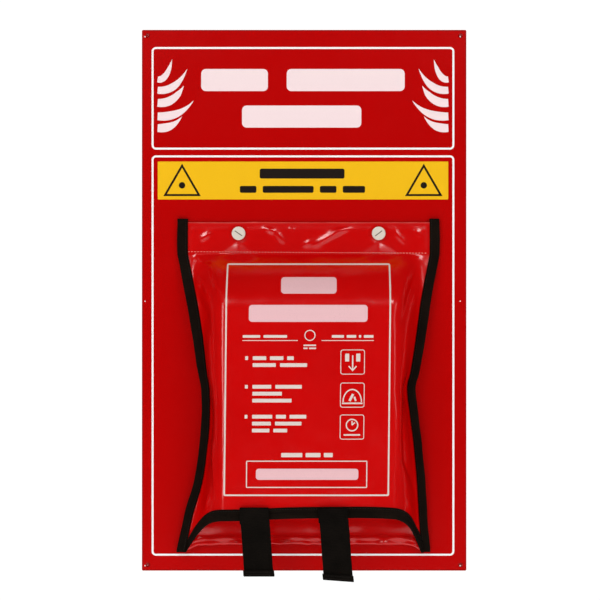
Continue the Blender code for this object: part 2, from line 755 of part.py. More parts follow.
pouch_hinge = empty_at(
    "pouch_hinge", (STUD_OFFSET_X, -HEADER_TAPE_FRONT, HINGE_LINE_HEIGHT), parts,
)
blanket_slide = empty_at(
    "blanket_slide", (STUD_OFFSET_X, -(PACK_BACK_DEPTH + PACK_FRONT_DEPTH) / 2, PACK_BOTTOM), parts,
    parent=pouch_hinge,
)

make_board()
make_studs()
make_header()
make_pouch(pouch_hinge)
make_blanket(blanket_slide)
tab_hinge_depth = (UP_LEG_DEPTH + HANGING_DEPTH) / 2
for tab_name, tab_x, tab_length in (
    ("left", STUD_OFFSET_X + LEFT_TAB_OFFSET, LEFT_TAB_LENGTH),
    ("right", STUD_OFFSET_X + RIGHT_TAB_OFFSET, RIGHT_TAB_LENGTH),
):
    make_tab_root(tab_name, tab_x, blanket_slide)
    tab_hinge = empty_at(
        f"{tab_name}_tab_hinge", (tab_x, -tab_hinge_depth, TAB_FOLD_HEIGHT + TAB_FOLD_RISE / 4), parts,
        parent=blanket_slide,
    )
    make_pull_tab(tab_name, tab_x, tab_length, tab_hinge)
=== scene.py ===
"""Looks of the fire blanket station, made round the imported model.

Metres, +Z up. The wall is the plane y = 0 and the front faces -Y, so a depth d in front of the wall
is y = -d. "Across" runs along X, from left to right as seen from the front.
"""

import json
import math

import bmesh
import bpy
import numpy as np
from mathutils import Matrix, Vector, noise
from mathutils.bvhtree import BVHTree


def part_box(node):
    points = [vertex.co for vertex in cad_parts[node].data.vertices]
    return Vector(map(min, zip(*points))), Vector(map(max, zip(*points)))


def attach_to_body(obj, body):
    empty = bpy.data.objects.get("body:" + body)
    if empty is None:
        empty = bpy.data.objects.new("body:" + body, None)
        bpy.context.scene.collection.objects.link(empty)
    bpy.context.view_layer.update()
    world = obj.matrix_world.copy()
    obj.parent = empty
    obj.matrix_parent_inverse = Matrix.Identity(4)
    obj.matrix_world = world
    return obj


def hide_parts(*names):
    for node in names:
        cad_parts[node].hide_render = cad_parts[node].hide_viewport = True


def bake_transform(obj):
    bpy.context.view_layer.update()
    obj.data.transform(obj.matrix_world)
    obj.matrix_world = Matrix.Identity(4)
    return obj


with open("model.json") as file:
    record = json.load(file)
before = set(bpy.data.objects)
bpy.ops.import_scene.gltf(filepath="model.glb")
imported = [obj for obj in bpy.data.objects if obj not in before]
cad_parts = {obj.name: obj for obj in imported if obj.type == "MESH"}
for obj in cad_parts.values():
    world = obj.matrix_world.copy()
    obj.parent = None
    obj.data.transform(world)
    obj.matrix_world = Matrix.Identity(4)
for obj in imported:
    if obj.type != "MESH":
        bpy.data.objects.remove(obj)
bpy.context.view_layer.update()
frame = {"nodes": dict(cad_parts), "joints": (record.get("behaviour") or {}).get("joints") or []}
SIDES = (("left", -1), ("right", 1))

# ---- Sizes that the frame gives -------------------------------------------------------------------

joints = {joint["name"]: joint for joint in frame["joints"]}
board_low, board_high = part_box("backing_board")
header_low, header_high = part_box("pouch_header")
tape_low, tape_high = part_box("left_header_binding")
pack_low, pack_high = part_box("folded_blanket")
root_low, root_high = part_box("left_tab_root")

FACE_FRONT = -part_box("printed_face")[0].y
HINGE_Z = joints["pouch_swing"]["pos_m"][2]
CENTRE_X = (header_low.x + header_high.x) / 2
POUCH_HALF = CENTRE_X - tape_low.x
HEADER_TOP = header_high.z
HEADER_BOTTOM = header_low.z
TAPE_TOP = tape_high.z
HEADER_MIDDLE = -(header_low.y + header_high.y) / 2
PACK_HALF = (pack_high.x - pack_low.x) / 2
PACK_BACK = -pack_high.y
PACK_FRONT = -pack_low.y
PACK_TOP = pack_high.z
PACK_BOTTOM = pack_low.z

# ---- Sizes of the pouch, its tape and its tabs ------------------------------------------------------

# Vinyl: its thickness, the header's two layers, and the panels' lengths, depths and flat shares
SHEET = 0.0005
HEADER_LAYER = -header_low.y - SHEET / 2
HEADER_INNER_LAYER = -header_high.y + SHEET / 2
POUCH_TOP = HINGE_Z - 0.00045
SEAM_LENGTH = 0.3284
FRONT_LENGTH = 0.2879
BACK_LENGTH = 0.3230
WAIST_ALLOWANCE = 0.0195
WAIST_DEPTH = 0.0200
CORNER_DEPTH = 0.0105
TOP_SLOPE = 0.060
FRONT_DEPTH = 0.0580
BACK_DEPTH = 0.00655
FLAT_FRONT_SHARE = 0.90
FLAT_BACK_SHARE = 0.84
SHOULDER = 0.019

# Folded pack: the gap to the panel above it, and the rounding of its long edges
PACK_TOP_CLEARANCE = 0.004
PACK_FRONT_RADIUS = 0.012
PACK_BACK_RADIUS = 0.010

# Binding tape, folded round the edges
TAPE = 0.0008
TAPE_GAP = 0.0003
SIDE_TAPE_WIDTH = 0.0090
HEM_TAPE_WIDTH = 0.0110
FIN_FLAT = 0.0006
PANEL_GAP = 0.0004
EDGE_INSET = TAPE + PANEL_GAP
PANEL_OFFSET = (SHEET + PANEL_GAP) / 2
SIDE_TAPE_OFFSET = PANEL_OFFSET + SHEET / 2 + TAPE_GAP + TAPE / 2
HEM_TAPE_OFFSET = SHEET / 2 + TAPE_GAP + TAPE / 2
HEADER_TAPE_OFFSET = (tape_high.y - tape_low.y - TAPE) / 2
MOUTH_Z = POUCH_TOP - FRONT_LENGTH

# Side seams: fraction of the way down the pouch, and flare (0 hugs the blanket, 1 is the full width)
LEFT_FLARE = [
    (0.0, 1.0), (0.16, 0.61), (0.28, 0.36), (0.40, 0.155), (0.46, 0.035),
    (0.57, 0.035), (0.64, 0.114), (0.76, 0.327), (0.88, 0.743), (1.0, 1.05),
]
RIGHT_FLARE = [
    (0.0, 1.0), (0.16, 0.62), (0.28, 0.41), (0.40, 0.16), (0.45, 0.02),
    (0.56, 0.16), (0.64, 0.283), (0.76, 0.415), (0.88, 0.507), (1.0, 0.636),
]
SEAM_RISE = [(0.0, 0.0), (0.16, 0.6), (0.40, 1.0), (0.57, 1.0), (0.76, 0.65), (0.88, 0.30), (1.0, 0.0)]
CORNER_DROP_POWER = 2.5

# Steps of a panel: down it, round each bend, across its flat middle, and under each tape
PANEL_ROWS = 150
BEND_COLUMNS = 34
FLAT_COLUMNS = 84
HIDDEN_COLUMNS = 4

# Webbing tabs, threads and ink
WEBBING_WIDTH = root_high.x - root_low.x
WEBBING = 0.0015
TAB_LEAN = math.radians(4.2)
TAB_END_HEIGHT = 0.0062
THREAD = 0.00022
INK = 0.00006


# ---- Shader nodes -----------------------------------------------------------------------------------


def srgb(red, green, blue):
    """A colour given as 0 to 255, as the linear values that Blender works in."""
    linear = []
    for value in (red, green, blue):
        share = value / 255
        linear.append(share / 12.92 if share <= 0.04045 else ((share + 0.055) / 1.055) ** 2.4)
    return (*linear, 1.0)


def put(tree, kind, props=None, values=None, links=None):
    """Adds a node, with its settings, its inputs' values and what feeds its inputs."""
    node = tree.nodes.new("ShaderNode" + kind)
    for name, value in (props or {}).items():
        setattr(node, name, value)
    for name, value in (values or {}).items():
        node.inputs[name].default_value = value
    for name, source in (links or {}).items():
        tree.links.new(source, node.inputs[name])
    return node


def new_material(name, **sockets):
    """A material whose Principled BSDF has these constant values, with _ for a space in their names."""
    material = bpy.data.materials.new(name)
    material.use_nodes = True
    shader = material.node_tree.nodes["Principled BSDF"]
    for socket, value in sockets.items():
        shader.inputs[socket.replace("_", " ")].default_value = value
    return material, material.node_tree, shader


def object_place(tree):
    """The place on the object, in metres."""
    return put(tree, "TexCoord").outputs["Object"]


def along_strand(tree):
    """(across, along) a tape or webbing, in metres, as the mesh stores them."""
    return put(tree, "Attribute", {"attribute_name": "strand"}).outputs["Vector"]


def noise_at(tree, place, scale, detail=3.0, roughness=0.5, distortion=0.0):
    """Noise from 0 to 1; scale is in waves to the metre."""
    values = {"Scale": scale, "Detail": detail, "Roughness": roughness, "Distortion": distortion}
    return put(tree, "TexNoise", values=values, links={"Vector": place}).outputs["Fac"]


def math_node(tree, operation, first, second=None, clamp=False):
    """One sum on numbers or other nodes' outputs."""
    node = put(tree, "Math", {"operation": operation, "use_clamp": clamp})
    for index, value in enumerate((first, second)):
        if value is None:
            continue
        if isinstance(value, (int, float)):
            node.inputs[index].default_value = value
        else:
            tree.links.new(value, node.inputs[index])
    return node.outputs["Value"]


def ramp(tree, factor, stops):
    """A colour ramp through (position, colour) stops."""
    node = put(tree, "ValToRGB", links={"Fac": factor})
    elements = node.color_ramp.elements
    while len(elements) < len(stops):
        elements.new(0.5)
    for element, (position, colour) in zip(elements, stops):
        element.position = position
        element.color = colour
    return node.outputs["Color"]


def spread(tree, factor, low, high):
    """A 0 to 1 value spread over a range."""
    node = put(tree, "MapRange", links={"Value": factor}, values={"To Min": low, "To Max": high})
    return node.outputs["Result"]


def bump(tree, shader, layers):
    """Stacks bumps on the shader; each layer is (height, distance in metres, strength)."""
    normal = None
    for height, distance, strength in layers:
        links = {"Height": height}
        if normal is not None:
            links["Normal"] = normal
        node = put(tree, "Bump", values={"Distance": distance, "Strength": strength}, links=links)
        normal = node.outputs["Normal"]
    tree.links.new(normal, shader.inputs["Normal"])


def shade(colour, factor):
    """A colour made lighter or darker."""
    return (*(min(1.0, channel * factor) for channel in colour[:3]), 1.0)


def tint(tree, shader, factor, *stops):
    """Colours the shader by a ramp through (position, colour) stops."""
    tree.links.new(ramp(tree, factor, stops), shader.inputs["Base Color"])


def polish(tree, shader, factor, low, high):
    """Spreads the shader's roughness over a range."""
    tree.links.new(spread(tree, factor, low, high), shader.inputs["Roughness"])


# ---- Materials --------------------------------------------------------------------------------------

# Pale red of the painted highlight along the front sheet's top fold
FOLD_HIGHLIGHT_COLOUR = srgb(236, 120, 112)
YARN = 0.0011


def plastic_material(name, colour, roughness, grain_scale, grain_depth, specular):
    """Moulded or printed plastic: slightly uneven colour and polish, and a fine grain."""
    material, tree, shader = new_material(name, Specular_IOR_Level=specular)
    place = object_place(tree)
    cloud = noise_at(tree, place, 9.0, detail=4.0)
    tint(tree, shader, cloud, (0.3, shade(colour, 0.98)), (0.7, shade(colour, 1.015)))
    smear = noise_at(tree, place, 38.0, detail=5.0, distortion=0.6)
    polish(tree, shader, smear, roughness * 0.85, roughness * 1.2)
    bump(tree, shader, [(noise_at(tree, place, grain_scale, detail=2.0), grain_depth, 0.5)])
    return material


def vinyl_material(name, colour):
    """Calendered vinyl: a soft sheen, faint ripples from the roll, a fine emboss, and a painted
    highlight where the mesh asks for it.
    """
    material, tree, shader = new_material(
        name, Specular_IOR_Level=0.42, Coat_Weight=0.12, Coat_Roughness=0.06,
    )
    place = object_place(tree)
    cloud = noise_at(tree, place, 14.0, detail=4.0, distortion=0.4)
    even = ramp(tree, cloud, [(0.25, shade(colour, 0.94)), (0.75, shade(colour, 1.03))])
    # Painted highlight: the mesh's attribute mixes in a paler red along the top fold
    painted_highlight = put(tree, "Attribute", {"attribute_name": "wear"}).outputs["Fac"]
    mix = put(tree, "Mix", {"data_type": "RGBA"})
    tree.links.new(painted_highlight, mix.inputs["Factor"])
    tree.links.new(even, mix.inputs["A"])
    mix.inputs["B"].default_value = FOLD_HIGHLIGHT_COLOUR
    tree.links.new(mix.outputs["Result"], shader.inputs["Base Color"])
    smear = noise_at(tree, place, 60.0, detail=5.0, distortion=0.8)
    polish(tree, shader, smear, 0.12, 0.21)
    ripple = noise_at(tree, place, 42.0, detail=1.0)
    emboss = noise_at(tree, place, 2600.0, detail=1.0)
    bump(tree, shader, [(ripple, 0.0010, 0.25), (emboss, 0.00005, 0.30)])
    return material


def ink_material(name, colour, speckle):
    """Screen ink: almost even, with faint pinholes and a dry finish."""
    material, tree, shader = new_material(name, Specular_IOR_Level=0.12)
    place = object_place(tree)
    fleck = noise_at(tree, place, 1400.0, detail=2.0)
    tint(tree, shader, fleck, (0.28, shade(colour, 1.0 - speckle)), (0.45, colour))
    smear = noise_at(tree, place, 80.0, detail=3.0)
    polish(tree, shader, smear, 0.38, 0.52)
    bump(tree, shader, [(fleck, 0.00002, 0.3)])
    return material


def woven_material(name, dark, light, rib, thread, depth):
    """Woven tape: ribs across the tape, crossed by finer threads along it, with a little lint, painted
    shade in the hollows and a painted highlight on the raised yarns.
    """
    material, tree, shader = new_material(name, Specular_IOR_Level=0.05, Roughness=0.85)
    parts = put(tree, "SeparateXYZ", links={"Vector": along_strand(tree)})
    across = math_node(tree, "MULTIPLY", parts.outputs["X"], math.tau / thread)
    along = math_node(tree, "MULTIPLY", parts.outputs["Y"], math.tau / rib)
    threads = math_node(tree, "SINE", across)
    lean = math_node(tree, "MULTIPLY", threads, 0.9)
    ribs = math_node(tree, "SINE", math_node(tree, "ADD", along, lean))
    weave = math_node(tree, "MULTIPLY", ribs, math_node(tree, "ADD", 1.6, threads))
    height = spread(tree, math_node(tree, "MULTIPLY", weave, 0.19), 0.0, 1.0)
    place = object_place(tree)
    lint = noise_at(tree, place, 900.0, detail=4.0, roughness=0.7)
    wear = noise_at(tree, place, 45.0, detail=3.0)
    # Painted shade and highlight: darker in the weave's hollows, lighter on the raised yarns, mixed with
    # lint and wear
    weave_shade_and_tone = math_node(tree, "MULTIPLY", math_node(tree, "ADD", height, lint), wear, clamp=True)
    tint(tree, shader, weave_shade_and_tone, (0.10, dark), (0.55, light), (0.95, shade(light, 1.5)))
    bump(tree, shader, [(lint, 0.00012, 0.5), (height, depth, 0.8)])
    return material


def cloth_material(name, colour):
    """Glass cloth: a plain weave of flat yarns, each crossing over the next, with painted shade where
    they dip.
    """
    material, tree, shader = new_material(
        name, Specular_IOR_Level=0.45, Sheen_Weight=0.15, Sheen_Roughness=0.4, Roughness=0.62,
    )
    parts = put(tree, "SeparateXYZ", links={"Vector": along_strand(tree)})
    warp, weft = (
        math_node(tree, "SINE", math_node(tree, "MULTIPLY", parts.outputs[axis], math.pi / YARN))
        for axis in ("X", "Y")
    )
    height = spread(tree, math_node(tree, "MULTIPLY", warp, weft), 0.5, 1.0)
    place = object_place(tree)
    cloud = noise_at(tree, place, 30.0, detail=4.0)
    # Painted shade: darker where the yarns dip under each other, with a random cloud of tone
    weave_shade_and_tone = math_node(tree, "MULTIPLY", height, math_node(tree, "ADD", cloud, 0.45), clamp=True)
    tint(tree, shader, weave_shade_and_tone, (0.2, shade(colour, 0.72)), (0.8, colour))
    fuzz = noise_at(tree, place, 1800.0, detail=3.0)
    bump(tree, shader, [(fuzz, 0.0001, 0.3), (height, 0.0003, 0.7)])
    return material


def metal_material(name, colour):
    """Plated metal with fine scuffs."""
    material, tree, shader = new_material(name, Metallic=1.0)
    place = object_place(tree)
    scuff = noise_at(tree, place, 420.0, detail=6.0, distortion=1.2)
    tint(tree, shader, scuff, (0.3, shade(colour, 0.86)), (0.7, colour))
    polish(tree, shader, scuff, 0.14, 0.30)
    bump(tree, shader, [(scuff, 0.00002, 0.4)])
    return material


def fuzz_material(name, colour):
    """Hook-and-loop tape: a matt pile."""
    material, tree, shader = new_material(name, Roughness=0.92, Specular_IOR_Level=0.2, Sheen_Weight=0.3)
    place = object_place(tree)
    pile = noise_at(tree, place, 1500.0, detail=5.0, roughness=0.8)
    tint(tree, shader, pile, (0.3, shade(colour, 0.6)), (0.75, shade(colour, 1.8)))
    bump(tree, shader, [(pile, 0.0006, 0.9)])
    return material


# Plastics: colour, roughness, grain's scale and depth, specular level
PLASTICS = {
    "board_plastic": (srgb(172, 0, 0), 0.45, 900.0, 0.00005, 0.08),
    "plug_plastic": (srgb(150, 0, 0), 0.22, 900.0, 0.00004, 0.5),
    "printed_red": (srgb(185, 0, 0), 0.20, 1500.0, 0.00001, 0.10),
    "stud_ivory": (srgb(224, 214, 200), 0.36, 700.0, 0.00004, 0.5),
    "slot_shade": (srgb(104, 90, 70), 0.6, 700.0, 0.00004, 0.5),
    "black_thread": (srgb(26, 20, 16), 0.6, 4000.0, 0.00004, 0.2),
    # The header thread's pale pink is a painted highlight on red thread
    "pale_thread": (srgb(240, 170, 160), 0.5, 4000.0, 0.00004, 0.5),
}
plastic = {name: plastic_material(name, *values) for name, values in PLASTICS.items()}
pouch_vinyl = vinyl_material("pouch_vinyl", srgb(204, 0, 0))
INKS = {
    "white_ink": (srgb(254, 252, 251), 0.04),
    "pale_ink": (srgb(249, 226, 227), 0.04),
    "yellow_ink": (srgb(246, 190, 10), 0.05),
    "black_ink": (srgb(26, 16, 8), 0.25),
    "pouch_ink": (srgb(234, 188, 192), 0.10),
    "pouch_line_ink": (srgb(226, 210, 202), 0.12),
}
ink = {name: ink_material(name, *values) for name, values in INKS.items()}
black_tape = woven_material("black_tape", srgb(11, 7, 4), srgb(27, 18, 12), 0.0009, 0.0007, 0.00018)
black_webbing = woven_material("black_webbing", srgb(7, 5, 3), srgb(20, 15, 11), 0.0018, 0.0012, 0.00030)
hook_and_loop = fuzz_material("hook_and_loop", srgb(22, 21, 20))
nickel = metal_material("nickel", srgb(226, 222, 214))
glass_cloth = cloth_material("glass_cloth", srgb(238, 235, 226))


# ---- Meshes -----------------------------------------------------------------------------------------

SHARP_EDGE = math.radians(50)
STITCH_STEPS = 6
STITCH_SIDES = 6


def grid_faces(rows, columns, round_it=False, start=0):
    """Quads between rows of points; round_it joins each row's last point to its first."""
    index = np.arange(rows * columns).reshape(rows, columns) + start
    if round_it:
        index = np.concatenate([index, index[:, :1]], axis=1)
    corners = (index[:-1, :-1], index[1:, :-1], index[1:, 1:], index[:-1, 1:])
    return np.stack([corner.ravel() for corner in corners], axis=1)


def add_object(name, data):
    """An object in the scene."""
    obj = bpy.data.objects.new(name, data)
    bpy.context.scene.collection.objects.link(obj)
    return obj


def new_piece(name, points, faces, material, strand=None):
    """A smooth-shaded mesh object; strand holds each point's (across, along) for the weave."""
    mesh = bpy.data.meshes.new(name)
    points = np.asarray(points, float).reshape(-1, 3).tolist()
    mesh.from_pydata(points, [], [list(map(int, face)) for face in faces])
    mesh.update()
    mesh.shade_smooth()
    mesh.materials.append(material)
    if strand is not None:
        flat = np.zeros((len(mesh.vertices), 3), np.float32)
        flat[:, :2] = np.asarray(strand, float).reshape(-1, 2)
        mesh.attributes.new("strand", "FLOAT_VECTOR", "POINT").data.foreach_set("vector", flat.ravel())
    obj = add_object(name, mesh)
    return obj


def thicken(obj, thickness):
    """Gives a sheet its thickness, half to each side."""
    solidify = obj.modifiers.new("thickness", "SOLIDIFY")
    solidify.thickness = thickness
    solidify.offset = 0.0


def settle(obj, sharp_above):
    """Applies the modifiers, and keeps edges sharper than an angle crisp in the shading."""
    bpy.context.view_layer.update()
    evaluated = obj.evaluated_get(bpy.context.evaluated_depsgraph_get())
    final = bpy.data.meshes.new_from_object(evaluated)
    obj.modifiers.clear()
    obj.data = final
    final.shade_smooth()
    final.set_sharp_from_angle(angle=sharp_above)


def set_painted_highlight(obj, wear):
    """Stores how strongly each point takes the painted highlight, from 0 to 1."""
    flat = np.asarray(wear, np.float32).ravel()
    obj.data.attributes.new("wear", "FLOAT", "POINT").data.foreach_set("value", flat)


def normals_of(grid):
    """The outward normal at each point of rows that run down and columns that run across."""
    normal = np.cross(np.gradient(grid, axis=0), np.gradient(grid, axis=1))
    return normal / np.maximum(np.linalg.norm(normal, axis=2, keepdims=True), 1e-12)


def lengths_along(grid, axis):
    """Distance travelled along rows or columns, in metres."""
    steps = np.linalg.norm(np.diff(grid, axis=axis), axis=2)
    start = np.zeros_like(np.take(steps, [0], axis=axis))
    return np.concatenate([start, np.cumsum(steps, axis=axis)], axis=axis)


def noise_grid(grid, scale, seed):
    """Smooth noise from -1 to 1 at each point."""
    flat = grid.reshape(-1, 3)
    shift = Vector((seed * 7.3, seed * 3.1, seed * 5.7))
    values = [noise.noise(Vector(point) * scale + shift) for point in flat]
    return np.array(values).reshape(grid.shape[:2])


def smooth_step(value, low, high):
    """Eases from 0 at one value to 1 at another."""
    share = np.clip((value - low) / (high - low), 0.0, 1.0)
    return share * share * (3 - 2 * share)


def stitches(name, seats, length, radius, material, slot):
    """Short threads that dip into the sheet at both ends, one at each (place, normal, direction)."""
    points, faces = [], []
    for place, normal, direction in seats:
        start = len(points)
        side = direction.cross(normal).normalized()
        for step in range(STITCH_STEPS + 1):
            share = step / STITCH_STEPS
            lift = math.sin(math.pi * share) * radius * 1.1 - radius * 0.55
            middle = place + direction * (length * (share - 0.5)) + normal * lift
            size = radius * (0.55 + 0.45 * math.sin(math.pi * share))
            for turn in range(STITCH_SIDES):
                angle = math.tau * turn / STITCH_SIDES
                points.append(middle + (side * math.cos(angle) + normal * math.sin(angle)) * size)
        faces.extend(grid_faces(STITCH_STEPS + 1, STITCH_SIDES, True, start).tolist())
        end = len(points)
        faces.append(list(range(start, start + STITCH_SIDES)))
        faces.append(list(range(end - STITCH_SIDES, end))[::-1])
    return new_piece(name, points, faces, material)


# ---- Form of the pouch ------------------------------------------------------------------------------


def smooth_value(points, at):
    """A smooth curve through (position, value) points."""
    if at <= points[0][0]:
        return points[0][1]
    if at >= points[-1][0]:
        return points[-1][1]
    index = max(i for i in range(len(points) - 1) if points[i][0] <= at)
    before = points[max(index - 1, 0)]
    start, end = points[index], points[index + 1]
    after = points[min(index + 2, len(points) - 1)]
    span = end[0] - start[0]
    start_slope = (end[1] - before[1]) / (end[0] - before[0]) * span
    end_slope = (after[1] - start[1]) / (after[0] - start[0]) * span
    t = (at - start[0]) / span
    return (
        (2 * t**3 - 3 * t**2 + 1) * start[1]
        + (t**3 - 2 * t**2 + t) * start_slope
        + (3 * t**2 - 2 * t**3) * end[1]
        + (t**3 - t**2) * end_slope
    )


def bezier(points, t):
    """The place at a share of a curve through three or four control points."""
    last = len(points) - 1
    weights = [math.comb(last, k) * (1 - t) ** (last - k) * t**k for k in range(last + 1)]
    return tuple(sum(w * point[axis] for w, point in zip(weights, points)) for axis in (0, 1))


def seam_half_width(side, fraction):
    """Distance of the side seam's outer edge from the pouch's centre line."""
    narrow = PACK_HALF + WAIST_ALLOWANCE
    flare = smooth_value(LEFT_FLARE if side < 0 else RIGHT_FLARE, fraction)
    return narrow + flare * (POUCH_HALF - narrow)


def seam_line(side, z):
    """The side seam at a level: outer edge's distance from the centre line, its lean and its depth."""
    fraction = min(1.0, max(0.0, (POUCH_TOP - z) / SEAM_LENGTH))
    low, high = max(0.0, fraction - 0.014), min(1.0, fraction + 0.014)
    slope = (seam_half_width(side, high) - seam_half_width(side, low)) / ((high - low) * SEAM_LENGTH)
    lowest = HEADER_MIDDLE + fraction * (CORNER_DEPTH - HEADER_MIDDLE)
    depth = lowest + smooth_value(SEAM_RISE, fraction) * (WAIST_DEPTH - lowest)
    return seam_half_width(side, fraction), math.hypot(1.0, slope), depth


def front_depth(z):
    """Depth of the front panel's middle at a height."""
    top = HEADER_MIDDLE + PANEL_OFFSET
    rise = math.sin(math.pi / 2 * min(1.0, max(0.0, (POUCH_TOP - z) / TOP_SLOPE)))
    return top + rise * (FRONT_DEPTH - top)


def panel_bend(side, z, front):
    """The level curve from the side tape's inner edge to the panel's flat middle."""
    outer, lean, depth = seam_line(side, z)
    edge_depth = depth + (PANEL_OFFSET if front else -PANEL_OFFSET)
    fin = outer - (SIDE_TAPE_WIDTH + FIN_FLAT) * lean
    flat_half = PACK_HALF * (FLAT_FRONT_SHARE if front else FLAT_BACK_SHARE)
    flat_depth = front_depth(z) if front else BACK_DEPTH
    reach = fin - flat_half
    shoulder = min(SHOULDER, 0.9 * reach) if front else 0.85 * reach
    rise = flat_depth - edge_depth
    return [
        (fin, edge_depth),
        (fin - 0.25 * reach, edge_depth + 0.05 * rise),
        (flat_half + shoulder, flat_depth),
        (flat_half, flat_depth),
    ]


def panel_row(fraction, front):
    """One row of (x, y, z) points across a panel, from the left seam to the right one."""
    seam_z = POUCH_TOP - fraction * SEAM_LENGTH
    middle_z = POUCH_TOP - fraction * (FRONT_LENGTH if front else BACK_LENGTH)
    halves = []
    for side in (-1, 1):
        outer, lean, _ = seam_line(side, seam_z)
        fin, fin_depth = panel_bend(side, seam_z, front)[0]
        edge = outer - EDGE_INSET * lean
        points = []
        for index in range(HIDDEN_COLUMNS):
            points.append((edge + (fin - edge) * index / HIDDEN_COLUMNS, fin_depth, seam_z))
        for index in range(BEND_COLUMNS):
            t = index / BEND_COLUMNS
            z = middle_z + (1 - t) ** CORNER_DROP_POWER * (seam_z - middle_z)
            points.append((*bezier(panel_bend(side, z, front), t), z))
        halves.append([(CENTRE_X + side * x, -depth, z) for x, depth, z in points])
    flat_half = PACK_HALF * (FLAT_FRONT_SHARE if front else FLAT_BACK_SHARE)
    middle_depth = front_depth(middle_z) if front else BACK_DEPTH
    flat = []
    for index in range(FLAT_COLUMNS + 1):
        x = flat_half * (2 * index / FLAT_COLUMNS - 1)
        flat.append((CENTRE_X + x, -middle_depth, middle_z))
    return halves[0] + flat + halves[1][::-1]


def panel_grid(front):
    """Rows of points down the front or back panel, from the hinge line to its lower edge."""
    return np.array([panel_row(index / PANEL_ROWS, front) for index in range(PANEL_ROWS + 1)])


# ---- Creases ----------------------------------------------------------------------------------------


def nearest(x, z, line):
    """Each point's distance from a line of (x, z) points, and how far along it is, 0 to 1."""
    best = np.full(x.shape, np.inf)
    place = np.zeros(x.shape)
    spans = [math.dist(a, b) for a, b in zip(line, line[1:])]
    done = 0.0
    for (ax, az), (bx, bz), span in zip(line, line[1:], spans):
        share = np.clip(((x - ax) * (bx - ax) + (z - az) * (bz - az)) / span**2, 0.0, 1.0)
        away = np.hypot(x - ax - share * (bx - ax), z - az - share * (bz - az))
        closer = away < best
        best = np.where(closer, away, best)
        place = np.where(closer, (done + share * span) / sum(spans), place)
        done += span
    return best, place


def crease(x, z, line, half_width, height, sharp=1.5):
    """A ridge (or with a negative height a valley) along a line, fading at both ends."""
    away, along = nearest(x, z, line)
    rise = np.sin(np.pi * np.clip(along, 0.02, 0.98)) ** 0.6
    return height * np.exp(-((away / half_width) ** sharp)) * rise


# Ridges and valleys of the front sheet: line of (x, z), half width, height
HEADER_CREASES = [
    ([(-0.1160, 0.0660), (-0.1030, 0.0750)], 0.0034, 0.0016),
    ([(-0.0470, 0.0850), (-0.0380, 0.0790), (-0.0335, 0.0740)], 0.0030, 0.0019),
    ([(-0.0310, 0.0760), (-0.0260, 0.0690), (-0.0215, 0.0630)], 0.0026, 0.0015),
    ([(-0.0160, 0.0820), (-0.0110, 0.0770)], 0.0022, 0.0010),
    ([(-0.0020, 0.0600), (0.0100, 0.0665)], 0.0030, 0.0013),
    ([(0.0080, 0.0600), (0.0250, 0.0680), (0.0400, 0.0780), (0.0540, 0.0830)], 0.0042, 0.0022),
    ([(0.0200, 0.0620), (0.0380, 0.0700), (0.0480, 0.0760)], 0.0024, -0.0009),
    ([(0.1000, 0.0770), (0.1120, 0.0620)], 0.0030, 0.0015),
    ([(0.1210, 0.0800), (0.1300, 0.0700)], 0.0030, 0.0009),
]
PANEL_CREASES = [
    ([(-0.1150, 0.0400), (-0.1030, 0.0375), (-0.0983, 0.0244), (-0.0924, 0.0058)], 0.0026, 0.0022),
    ([(-0.1210, 0.0490), (-0.1120, 0.0430)], 0.0034, 0.0015),
    ([(-0.1190, 0.0300), (-0.1090, 0.0180), (-0.1040, 0.0060)], 0.0034, 0.0018),
    ([(-0.1220, 0.0210), (-0.1130, 0.0150)], 0.0028, 0.0016),
    ([(-0.1250, 0.0060), (-0.1080, -0.0120), (-0.1030, -0.0400)], 0.0050, -0.0018),
    ([(-0.1060, -0.0300), (-0.1020, -0.0800), (-0.1030, -0.1200)], 0.0044, 0.0013),
    ([(-0.0995, -0.1550), (-0.0980, -0.1900), (-0.0956, -0.2210)], 0.0020, 0.0014),
    ([(-0.1040, -0.2120), (-0.1090, -0.2330)], 0.0022, 0.0014),
    ([(-0.1160, -0.1900), (-0.1210, -0.2200)], 0.0036, -0.0012),
    ([(0.1260, 0.0340), (0.1160, 0.0050), (0.1060, -0.0280)], 0.0052, -0.0026),
    ([(0.1180, 0.0400), (0.1080, 0.0180), (0.1010, -0.0100)], 0.0040, 0.0014),
    ([(0.1096, -0.0900), (0.1090, -0.1400), (0.1100, -0.1760), (0.1226, -0.2100)], 0.0034, -0.0020),
    ([(0.1030, -0.0950), (0.1020, -0.1500), (0.1060, -0.1950)], 0.0040, 0.0012),
    ([(0.1130, -0.2180), (0.1200, -0.2400)], 0.0032, 0.0012),
    ([(-0.0700, -0.2200), (-0.0100, -0.2235), (0.0650, -0.2190)], 0.0050, -0.0007),
]
STUD_TENT_DROP = 0.0060
STUD_TENT_TOP_HALF_WIDTH = 0.0040
STUD_TENT_HALF_WIDTH = 0.0215
STUD_TENT_HEIGHT = 0.0032


def stud_centre(side_name):
    """The (x, z) of a stud's axis."""
    low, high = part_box(f"{side_name}_stud_screw")
    return (low.x + high.x) / 2, (low.z + high.z) / 2


STUDS = [stud_centre(side_name) for side_name, _ in SIDES]


